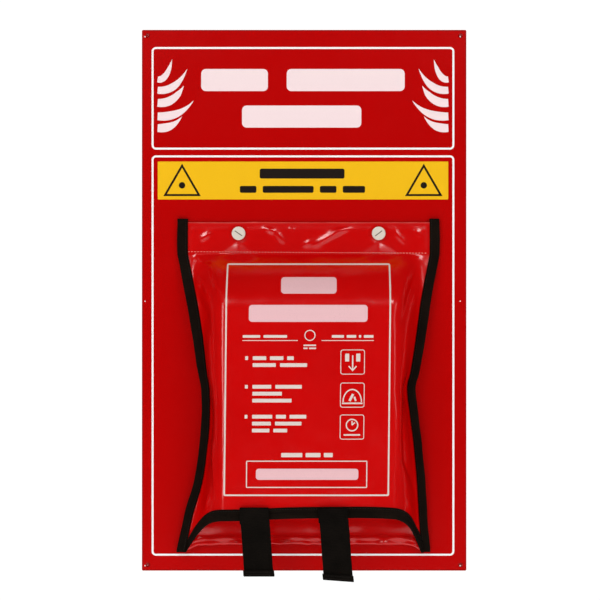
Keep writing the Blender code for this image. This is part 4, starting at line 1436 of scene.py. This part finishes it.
def blanket_grid():
    """The whole cloth, folded across into a strip and then down into a pack, fitted to its space."""
    pitch = (PACK_FRONT - PACK_BACK - CLOTH) / (LAYERS_ACROSS * LAYERS_DOWN - 1)
    strip = zigzag(BLANKET_WIDTH, LAYERS_ACROSS, pitch, *STRIP_STEPS)
    stack = zigzag(BLANKET_LENGTH, LAYERS_DOWN, pitch * LAYERS_ACROSS, *STACK_STEPS)
    strip_thickness = pitch * (LAYERS_ACROSS - 1)
    rise = strip[:, 1] - strip_thickness / 2
    along = stack[:, 0][:, None] + stack[:, 2][:, None] * rise[None, :]
    height = stack[:, 1][:, None] + strip_thickness / 2 + stack[:, 3][:, None] * rise[None, :]
    across = np.repeat(strip[:, 0][None, :], len(stack), axis=0)
    u = 2 * (across - strip[:, 0].min()) / np.ptp(strip[:, 0]) - 1
    v = (along - along.min()) / np.ptp(along)
    h = (height - height.min()) / np.ptp(height)
    z = PACK_BOTTOM + CLOTH / 2 + v * (PACK_TOP - PACK_BOTTOM - CLOTH)
    limit = np.vectorize(lambda level: min(PACK_FRONT, front_depth(level) - PACK_TOP_CLEARANCE))(z)
    back, front = PACK_BACK + CLOTH / 2, limit - CLOTH / 2
    depth = back + h * (front - back)
    half = PACK_HALF - CLOTH
    for radius, inside in ((PACK_FRONT_RADIUS, front - depth), (PACK_BACK_RADIUS, depth - back)):
        near = np.clip(radius - inside, 0.0, radius)
        half = half - (radius - np.sqrt(radius**2 - near**2)) * ROUNDING_SHARE
    grid = np.stack([CENTRE_X + u * half, -depth, z], axis=2)
    uneven = noise_grid(np.stack([depth * 9.0, z, u * 0.01], axis=2), 60.0, 11)
    grid[:, :, 0] -= np.sign(u) * np.abs(u) ** 6 * UNEVEN_SIDES * (uneven + 0.7)
    deep = noise_grid(np.stack([depth * 4.0, u * 0.05, z * 0.2], axis=2), 60.0, 13)
    grid[:, :, 2] += (2 * v - 1) ** 7 * -UNEVEN_ENDS * (deep + 0.6)
    strand = np.stack(np.meshgrid(strip[:, 4], stack[:, 4]), axis=2)
    return grid, strand


grid, strand = blanket_grid()
cloth_look = (glass_cloth, "glass_cloth", CLOTH)
blanket = sheet_piece("blanket_cloth", grid, ("folded_blanket",), *cloth_look, strand)
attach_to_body(blanket, "blanket")


# ---- Pull tabs --------------------------------------------------------------------------------------

INNER_LEG = PACK_FRONT + 0.0009
SEWN_HEIGHT = 0.030
TAB_FOLD_RADIUS = 0.0009
FOLD_DROP = 0.0003
UTURN_DROP = 0.0022
TAB_STEP = 0.00045
FOLD_ZONE = 0.00012
FOLD_ROWS = 15
END_EXTRA = 0.0011
END_WRAP = 0.0010
TAB_RIB = 0.0018
TAB_THREAD = 0.0036
TAB_RIB_HEIGHT = 0.00003
TAB_WAVE = 0.00025
TAB_WAVE_SCALE = 90.0
END_SEAM_DROPS = (0.0018, 0.0048)
END_SEAM_STITCHES = 11
END_SEAM_SHARE = 0.88
END_STITCH_LENGTH = 0.0021

# Tabs: name, how far the end is tipped over the webbing's width, how much shorter it is, noise seed
TABS = [("left", 0.0023, 0.0012, 3.0), ("right", 0.0046, 0.0004, 8.0)]


def tab_path(x, low_z, up_leg, fold_z, hem_z):
    """Centre line of one tab as (x, depth, z): down the blanket, under the hem, up, over and down."""
    line = [(x, INNER_LEG, PACK_BOTTOM + SEWN_HEIGHT), (x, INNER_LEG, hem_z)]
    middle, reach = (INNER_LEG + up_leg) / 2, (up_leg - INNER_LEG) / 2
    for step in range(1, 14):
        angle = math.pi * step / 14
        line.append((x, middle - reach * math.cos(angle), hem_z - UTURN_DROP * math.sin(angle) ** 0.6))
    line += [(x, up_leg, hem_z), (x, up_leg, fold_z)]
    for step in range(1, 12):
        angle = math.pi * step / 12
        depth = up_leg + TAB_FOLD_RADIUS * (1 - math.cos(angle))
        line.append((x, depth, fold_z + TAB_FOLD_RADIUS * math.sin(angle)))
    hanging = up_leg + 2 * TAB_FOLD_RADIUS
    bottom = low_z + END_WRAP + WEBBING / 2
    down = fold_z - bottom
    slide = math.tan(TAB_LEAN)
    line.append((x, hanging, fold_z))
    line.append((x + slide * down, hanging, bottom))
    for step in range(1, 8):
        angle = math.pi * step / 8
        z = bottom - END_WRAP * math.sin(angle)
        line.append((x + slide * (fold_z - z), hanging + END_WRAP * (1 - math.cos(angle)), z))
    top = bottom + TAB_END_HEIGHT - END_WRAP
    line.append((x + slide * (fold_z - top), hanging + 2 * END_WRAP, top))
    return line


def even_points(line, step, fold_index):
    """Points a step apart along a line, and close together at its fold, with the distance travelled."""
    line = np.array(line)
    travelled = np.concatenate([[0.0], np.cumsum(np.linalg.norm(np.diff(line, axis=0), axis=1))])
    at = np.linspace(0.0, travelled[-1], int(travelled[-1] / step) + 1)
    fold = travelled[fold_index]
    at = np.sort(np.concatenate([at, np.linspace(fold - FOLD_ZONE, fold + FOLD_ZONE, FOLD_ROWS)]))
    return np.stack([np.interp(at, travelled, line[:, axis]) for axis in range(3)], axis=1), at


def webbing_section(width, count=14):
    """A flat section with rounded edges as (across, out) points, once round."""
    thin = WEBBING / 2
    middle = width / 2 - thin
    face = [(-middle + 2 * middle * index / count, thin) for index in range(count + 1)]
    turns = (math.pi / 4, math.pi / 2, 3 * math.pi / 4)
    face += [(middle + thin * math.sin(turn), thin * math.cos(turn)) for turn in turns]
    return face + [(-across, -out) for across, out in face]


def tab_mesh(x, centres, at, skew, seed):
    """Rings of points along the tab's line, their (across, along), and the faces between them."""
    tangents = np.gradient(centres, at, axis=0)
    tangents /= np.linalg.norm(tangents, axis=1, keepdims=True)
    hanging_from = np.argmax(centres[:, 0] > x + 1e-5)
    points, strand = [], []
    for index, (centre, tangent, travelled) in enumerate(zip(centres, tangents, at)):
        from_end = at[-1] - travelled
        hangs = index >= hanging_from or from_end < TAB_END_HEIGHT
        lean = TAB_LEAN if hangs else 0.0
        way = Vector((tangent[0], -tangent[1], tangent[2]))
        across = Vector((math.cos(lean), 0.0, math.sin(lean)))
        across = (across - way * across.dot(way)).normalized()
        out = across.cross(way).normalized()
        wide_from = -2 * TAB_END_HEIGHT
        wide = float(smooth_step(-from_end, wide_from + 0.001, wide_from + 0.003))
        curve = TAB_WAVE * noise.noise(Vector((travelled * TAB_WAVE_SCALE, seed, 0.0)))
        rib = TAB_RIB_HEIGHT * math.sin(math.tau * travelled / TAB_RIB)
        middle = Vector((centre[0], -centre[1], centre[2]))
        for u, v in webbing_section(WEBBING_WIDTH + 2 * END_EXTRA * wide):
            lift = math.copysign(rib * math.sin(math.tau * u / TAB_THREAD), v)
            point = middle + across * (u + curve) + out * (v + lift)
            if wide > 0.0:
                point.z -= wide * skew * (u / WEBBING_WIDTH)
            points.append(point)
            strand.append((u, travelled))
    rows = len(centres)
    ring = len(points) // rows
    faces = grid_faces(rows, ring, True).tolist()
    faces.append(list(range(ring))[::-1])
    faces.append(list(range((rows - 1) * ring, rows * ring)))
    return points, strand, faces


def make_tab(name, skew, shorter, seed):
    """One tab of woven webbing, from where it is sewn to the blanket to its hanging end."""
    root_low, root_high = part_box(f"{name}_tab_root")
    x = (root_low.x + root_high.x) / 2
    hinge = joints[f"{name}_tab_swing"]["pos_m"]
    hem_shifts = [hem_shift(x + WEBBING_WIDTH * share) for share in (-0.5, 0.0, 0.5)]
    hem_z = MOUTH_Z + min(0.0, *hem_shifts) - TAPE_GAP - TAPE - TAPE_GAP - 0.0002
    low_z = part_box(f"{name}_pull_tab")[0].z + shorter
    line = tab_path(x, low_z, -hinge[1] - TAB_FOLD_RADIUS, hinge[2] - FOLD_DROP, hem_z)
    fold_index = max(range(5, len(line)), key=lambda index: line[index][2])
    centres, at = even_points(line, TAB_STEP, fold_index)
    points, strand, faces = tab_mesh(x, centres, at, skew, seed)
    obj = new_piece(f"{name}_tab_webbing", points, faces, black_webbing, strand)
    if signed_volume(obj) < 0:
        obj.data.flip_normals()
    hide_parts(f"{name}_tab_root", f"{name}_pull_tab")
    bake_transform(obj)
    make_end_stitches(name, centres[-1], skew)


def signed_volume(obj):
    """The volume a mesh closes in, below 0 if it is inside out."""
    shape = bmesh.new()
    shape.from_mesh(obj.data)
    volume = shape.calc_volume(signed=True)
    shape.free()
    return volume


def make_end_stitches(name, end, skew):
    """Two rows of stitches across the tab's folded end."""
    last = Vector((end[0], -end[1], end[2]))
    lean = Vector((math.cos(TAB_LEAN), 0.0, math.sin(TAB_LEAN)))
    out = Vector((0.0, -1.0, 0.0))
    seats = []
    for drop in END_SEAM_DROPS:
        for index in range(END_SEAM_STITCHES):
            u = WEBBING_WIDTH * END_SEAM_SHARE * ((index + 0.5) / END_SEAM_STITCHES - 0.5)
            down = Vector((0.0, 0.0, drop + skew * u / WEBBING_WIDTH))
            seats.append((last + lean * u + out * (WEBBING / 2) - down, out, lean))
    look = (THREAD, plastic["black_thread"], "black_webbing")
    obj = stitches(f"{name}_tab_end_stitches", seats, END_STITCH_LENGTH, *look)
    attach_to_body(obj, f"{name}_tab")


for tab in TABS:
    make_tab(*tab)


# ---- Rigid pieces -----------------------------------------------------------------------------------


def dress(node, material):
    """Gives a CAD node its material."""
    obj = frame["nodes"][node]
    if not obj.material_slots:
        obj.data.materials.append(material)
    for slot in obj.material_slots:
        slot.material = material


dress("backing_board", plastic["board_plastic"])
dress("printed_face", plastic["printed_red"])
for side_name, _ in SIDES:
    dress(f"{side_name}_stud_post", plastic["stud_ivory"])
    dress(f"{side_name}_eyelet", nickel)
    dress(f"{side_name}_loop_patch", hook_and_loop)
    dress(f"{side_name}_hook_patch", hook_and_loop)

HEAD_ROUNDING = 0.0007
HEAD_THICKNESS = 0.0025
HEAD_CROWN = 0.00025
CROWNED_SHARE = 0.84
BACK_ROUNDING = 0.0003
SLOT_LENGTH = 0.0098
SLOT_WIDTH = 0.0010
SLOT_DEPTH = 0.0011
SLOT_ANGLES = {"left": math.radians(-34), "right": math.radians(37)}
SHANK_RADIUS = 0.0020


def screw_profile(radius, front, shank_end):
    """Half of a screw's outline as (radius, depth): crowned head, rounded rim, plain shank."""
    back = front - HEAD_THICKNESS
    shares = [CROWNED_SHARE * step / 6 for step in range(7)]
    profile = [(radius * share, front - HEAD_CROWN * share**2) for share in shares]
    rim = front - HEAD_CROWN - HEAD_ROUNDING
    for step in range(1, 6):
        angle = math.pi / 2 * (1 - step / 5)
        reach = radius - HEAD_ROUNDING + HEAD_ROUNDING * math.cos(angle)
        profile.append((reach, rim + HEAD_ROUNDING * math.sin(angle)))
    profile += [(radius, back + BACK_ROUNDING), (radius - BACK_ROUNDING, back)]
    profile += [(SHANK_RADIUS, back), (SHANK_RADIUS, shank_end), (0.0, shank_end)]
    return profile


def slot_cutter(side_name, centre_x, centre_z, front):
    """A box to cut the driver's slot with."""
    mesh = bpy.data.meshes.new("slot")
    shape = bmesh.new()
    bmesh.ops.create_cube(shape, size=1.0)
    bmesh.ops.scale(shape, vec=(SLOT_LENGTH, SLOT_DEPTH * 2, SLOT_WIDTH), verts=shape.verts)
    shape.to_mesh(mesh)
    shape.free()
    cutter = add_object(f"{side_name}_slot", mesh)
    cutter.location = (centre_x, -front, centre_z)
    cutter.rotation_euler = (0.0, -SLOT_ANGLES[side_name], 0.0)
    return cutter


def make_stud_screw(side_name):
    """A moulded screw: a slightly crowned head with a rounded rim and a slot, on a plain shank."""
    low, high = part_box(f"{side_name}_stud_screw")
    centre_x, centre_z = (low.x + high.x) / 2, (low.z + high.z) / 2
    front = -low.y
    profile = screw_profile((high.x - low.x) / 2, front, -high.y)
    mesh = bpy.data.meshes.new(f"{side_name}_screw")
    edges = [(index, index + 1) for index in range(len(profile) - 1)]
    mesh.from_pydata([(reach, 0.0, depth) for reach, depth in profile], edges, [])
    obj = add_object(f"{side_name}_screw", mesh)
    obj.rotation_euler = (math.pi / 2, 0.0, 0.0)
    obj.location = (centre_x, 0.0, centre_z)
    turn = obj.modifiers.new("turn", "SCREW")
    turn.axis = "Z"
    turn.steps = 64
    turn.render_steps = 64
    turn.use_merge_vertices = True
    turn.merge_threshold = 0.00001
    cutter = slot_cutter(side_name, centre_x, centre_z, front)
    cut = obj.modifiers.new("slot", "BOOLEAN")
    cut.operation = "DIFFERENCE"
    cut.solver = "EXACT"
    cut.object = cutter
    settle(obj, math.radians(38))
    bpy.data.objects.remove(cutter)
    obj.data.materials.clear()
    obj.data.materials.append(plastic["stud_ivory"])
    obj.data.materials.append(plastic["slot_shade"])
    slot_floor = front - SLOT_DEPTH - 0.0002
    slot_mouth = front - 0.00045
    for face in obj.data.polygons:
        x, y, depth = face.center
        in_slot = slot_floor < depth < slot_mouth and math.hypot(x, y) < SLOT_LENGTH / 2
        face.material_index = 1 if in_slot else 0
    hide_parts(f"{side_name}_stud_screw")
    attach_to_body(obj, "board")


for side_name, _ in SIDES:
    make_stud_screw(side_name)

# Plugs, as (radius, depth) from the middle of the face to the middle of the back
PLUG_RADIUS = 0.00245
PLUG_STEPS = 32
HOLE_INSET = 0.0065
PLUG_PROFILE = [
    (0.0, 0.0042), (0.0007, 0.0043), (0.0013, 0.0046), (0.0018, 0.0051), (0.0021, 0.0054),
    (0.0023, 0.0055), (PLUG_RADIUS, 0.0053), (PLUG_RADIUS, 0.0020), (0.0, 0.0020),
]


def make_corner_plugs():
    """Moulded plugs in the board's corner holes, with dished faces."""
    points, faces = [], []
    for x in (board_low.x + HOLE_INSET, board_high.x - HOLE_INSET):
        for z in (board_low.z + HOLE_INSET, board_high.z - HOLE_INSET):
            start = len(points)
            for radius, depth in PLUG_PROFILE:
                for turn in range(PLUG_STEPS):
                    angle = math.tau * turn / PLUG_STEPS
                    reach = max(radius, 1e-6)
                    points.append((x + reach * math.cos(angle), -depth, z + reach * math.sin(angle)))
            faces.extend(grid_faces(len(PLUG_PROFILE), PLUG_STEPS, True, start).tolist())
    obj = new_piece("corner_plugs", points, faces, plastic["plug_plastic"])
    obj.data.set_sharp_from_angle(angle=SHARP_EDGE)
    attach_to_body(obj, "board")


make_corner_plugs()

# ---- Sheets are baked in place last, once everything on them is made ---------------------------------

swing(front_sheet)
swing(back_sheet)

# ---- Camera, lights and floor -----------------------------------------------------------------------

WHITE = (1.0, 1.0, 1.0, 1.0)
CAMERA_PLACE = (-0.0046, -2.25, 0.0003)
CAMERA_LENS = 121.4
FILL_STRENGTH = 0.38
GLOSS_STRENGTH = 0.015
SEEN_STRENGTH = 1.05
FLOOR_DROP = 0.25
FLOOR_RADIUS = 3.0
FLOOR_TONES = [(0.3, srgb(236, 236, 235)), (0.7, srgb(242, 242, 241))]

# Softboxes: name, place, target, size, power, seen in gloss, seen by matt surfaces
CENTRE = (0.0, 0.0, 0.0)
TOP_TARGET = (0.0, 0.0, 0.05)
LIGHTS = [
    ("key", (-1.1, -1.6, 1.3), CENTRE, (1.3, 1.0), 16.5, False, True),
    ("fill", (1.5, -1.7, 0.4), (0.0, 0.0, -0.05), (0.9, 1.4), 9.0, False, True),
    ("low", (-0.2, -1.5, -1.0), (0.0, 0.0, -0.30), (1.6, 0.7), 25.0, False, True),
    ("gloss_left", (-0.66, -1.85, 0.98), TOP_TARGET, (0.56, 0.42), 9.5, True, False),
    ("gloss_right", (0.66, -1.85, 0.98), TOP_TARGET, (0.56, 0.42), 9.5, True, False),
    ("side_left", (-1.35, -1.3, 0.10), CENTRE, (0.30, 0.90), 6.0, True, False),
    ("side_right", (1.35, -1.3, 0.20), CENTRE, (0.25, 0.80), 1.5, True, False),
    ("behind", (0.5, 1.8, 0.6), CENTRE, (1.4, 1.4), 20.0, False, True),
]


def make_camera():
    """A long lens straight in front, as in the photo."""
    data = bpy.data.cameras.new("camera")
    data.sensor_width = 36.0
    data.lens = CAMERA_LENS
    camera = add_object("camera", data)
    camera.location = CAMERA_PLACE
    camera.rotation_euler = (math.pi / 2, 0.0, 0.0)
    bpy.context.scene.camera = camera


def softbox(name, place, target, size, power, glossy, diffuse):
    """A rectangular light turned to its target."""
    data = bpy.data.lights.new(name, "AREA")
    data.shape = "RECTANGLE"
    data.size, data.size_y = size
    data.energy = power
    light = add_object(name, data)
    light.visible_glossy = glossy
    light.visible_diffuse = diffuse
    light.location = place
    light.rotation_euler = (Vector(target) - Vector(place)).to_track_quat("-Z", "Y").to_euler()


def make_world():
    """White behind the object, grey for the fill light, and almost dark in the gloss."""
    world = bpy.data.worlds.new("studio")
    bpy.context.scene.world = world
    world.use_nodes = True
    world.cycles.sampling_method = "NONE"
    tree = world.node_tree
    tree.nodes.clear()
    path = put(tree, "LightPath").outputs
    fill, gloss, seen = (
        put(tree, "Background", values={"Color": WHITE, "Strength": strength}).outputs[0]
        for strength in (FILL_STRENGTH, GLOSS_STRENGTH, SEEN_STRENGTH)
    )
    unseen = put(tree, "MixShader", links={0: path["Is Glossy Ray"], 1: fill, 2: gloss})
    whole = put(tree, "MixShader", links={0: path["Is Camera Ray"], 1: unseen.outputs[0], 2: seen})
    put(tree, "OutputWorld", links={0: whole.outputs[0]})


def make_floor():
    """A wide pale disc below the reach of the pulled blanket."""
    travel = joints["blanket_pull"]["range_m"][1]
    shape = bmesh.new()
    bmesh.ops.create_circle(shape, cap_ends=True, segments=96, radius=FLOOR_RADIUS)
    mesh = bpy.data.meshes.new("floor")
    shape.to_mesh(mesh)
    shape.free()
    material, tree, shader = new_material(
        "floor_paper", Roughness=0.9, Emission_Color=WHITE, Emission_Strength=0.42,
    )
    tone = ramp(tree, noise_at(tree, object_place(tree), 2.0), FLOOR_TONES)
    tree.links.new(tone, shader.inputs["Base Color"])
    mesh.materials.append(material)
    floor = add_object("floor", mesh)
    floor.location = (0.0, 0.0, PACK_BOTTOM - travel - FLOOR_DROP)


make_camera()
make_world()
make_floor()
for light in LIGHTS:
    softbox(*light)
scene = bpy.context.scene
scene.view_settings.view_transform = "Standard"
scene.view_settings.look = "None"
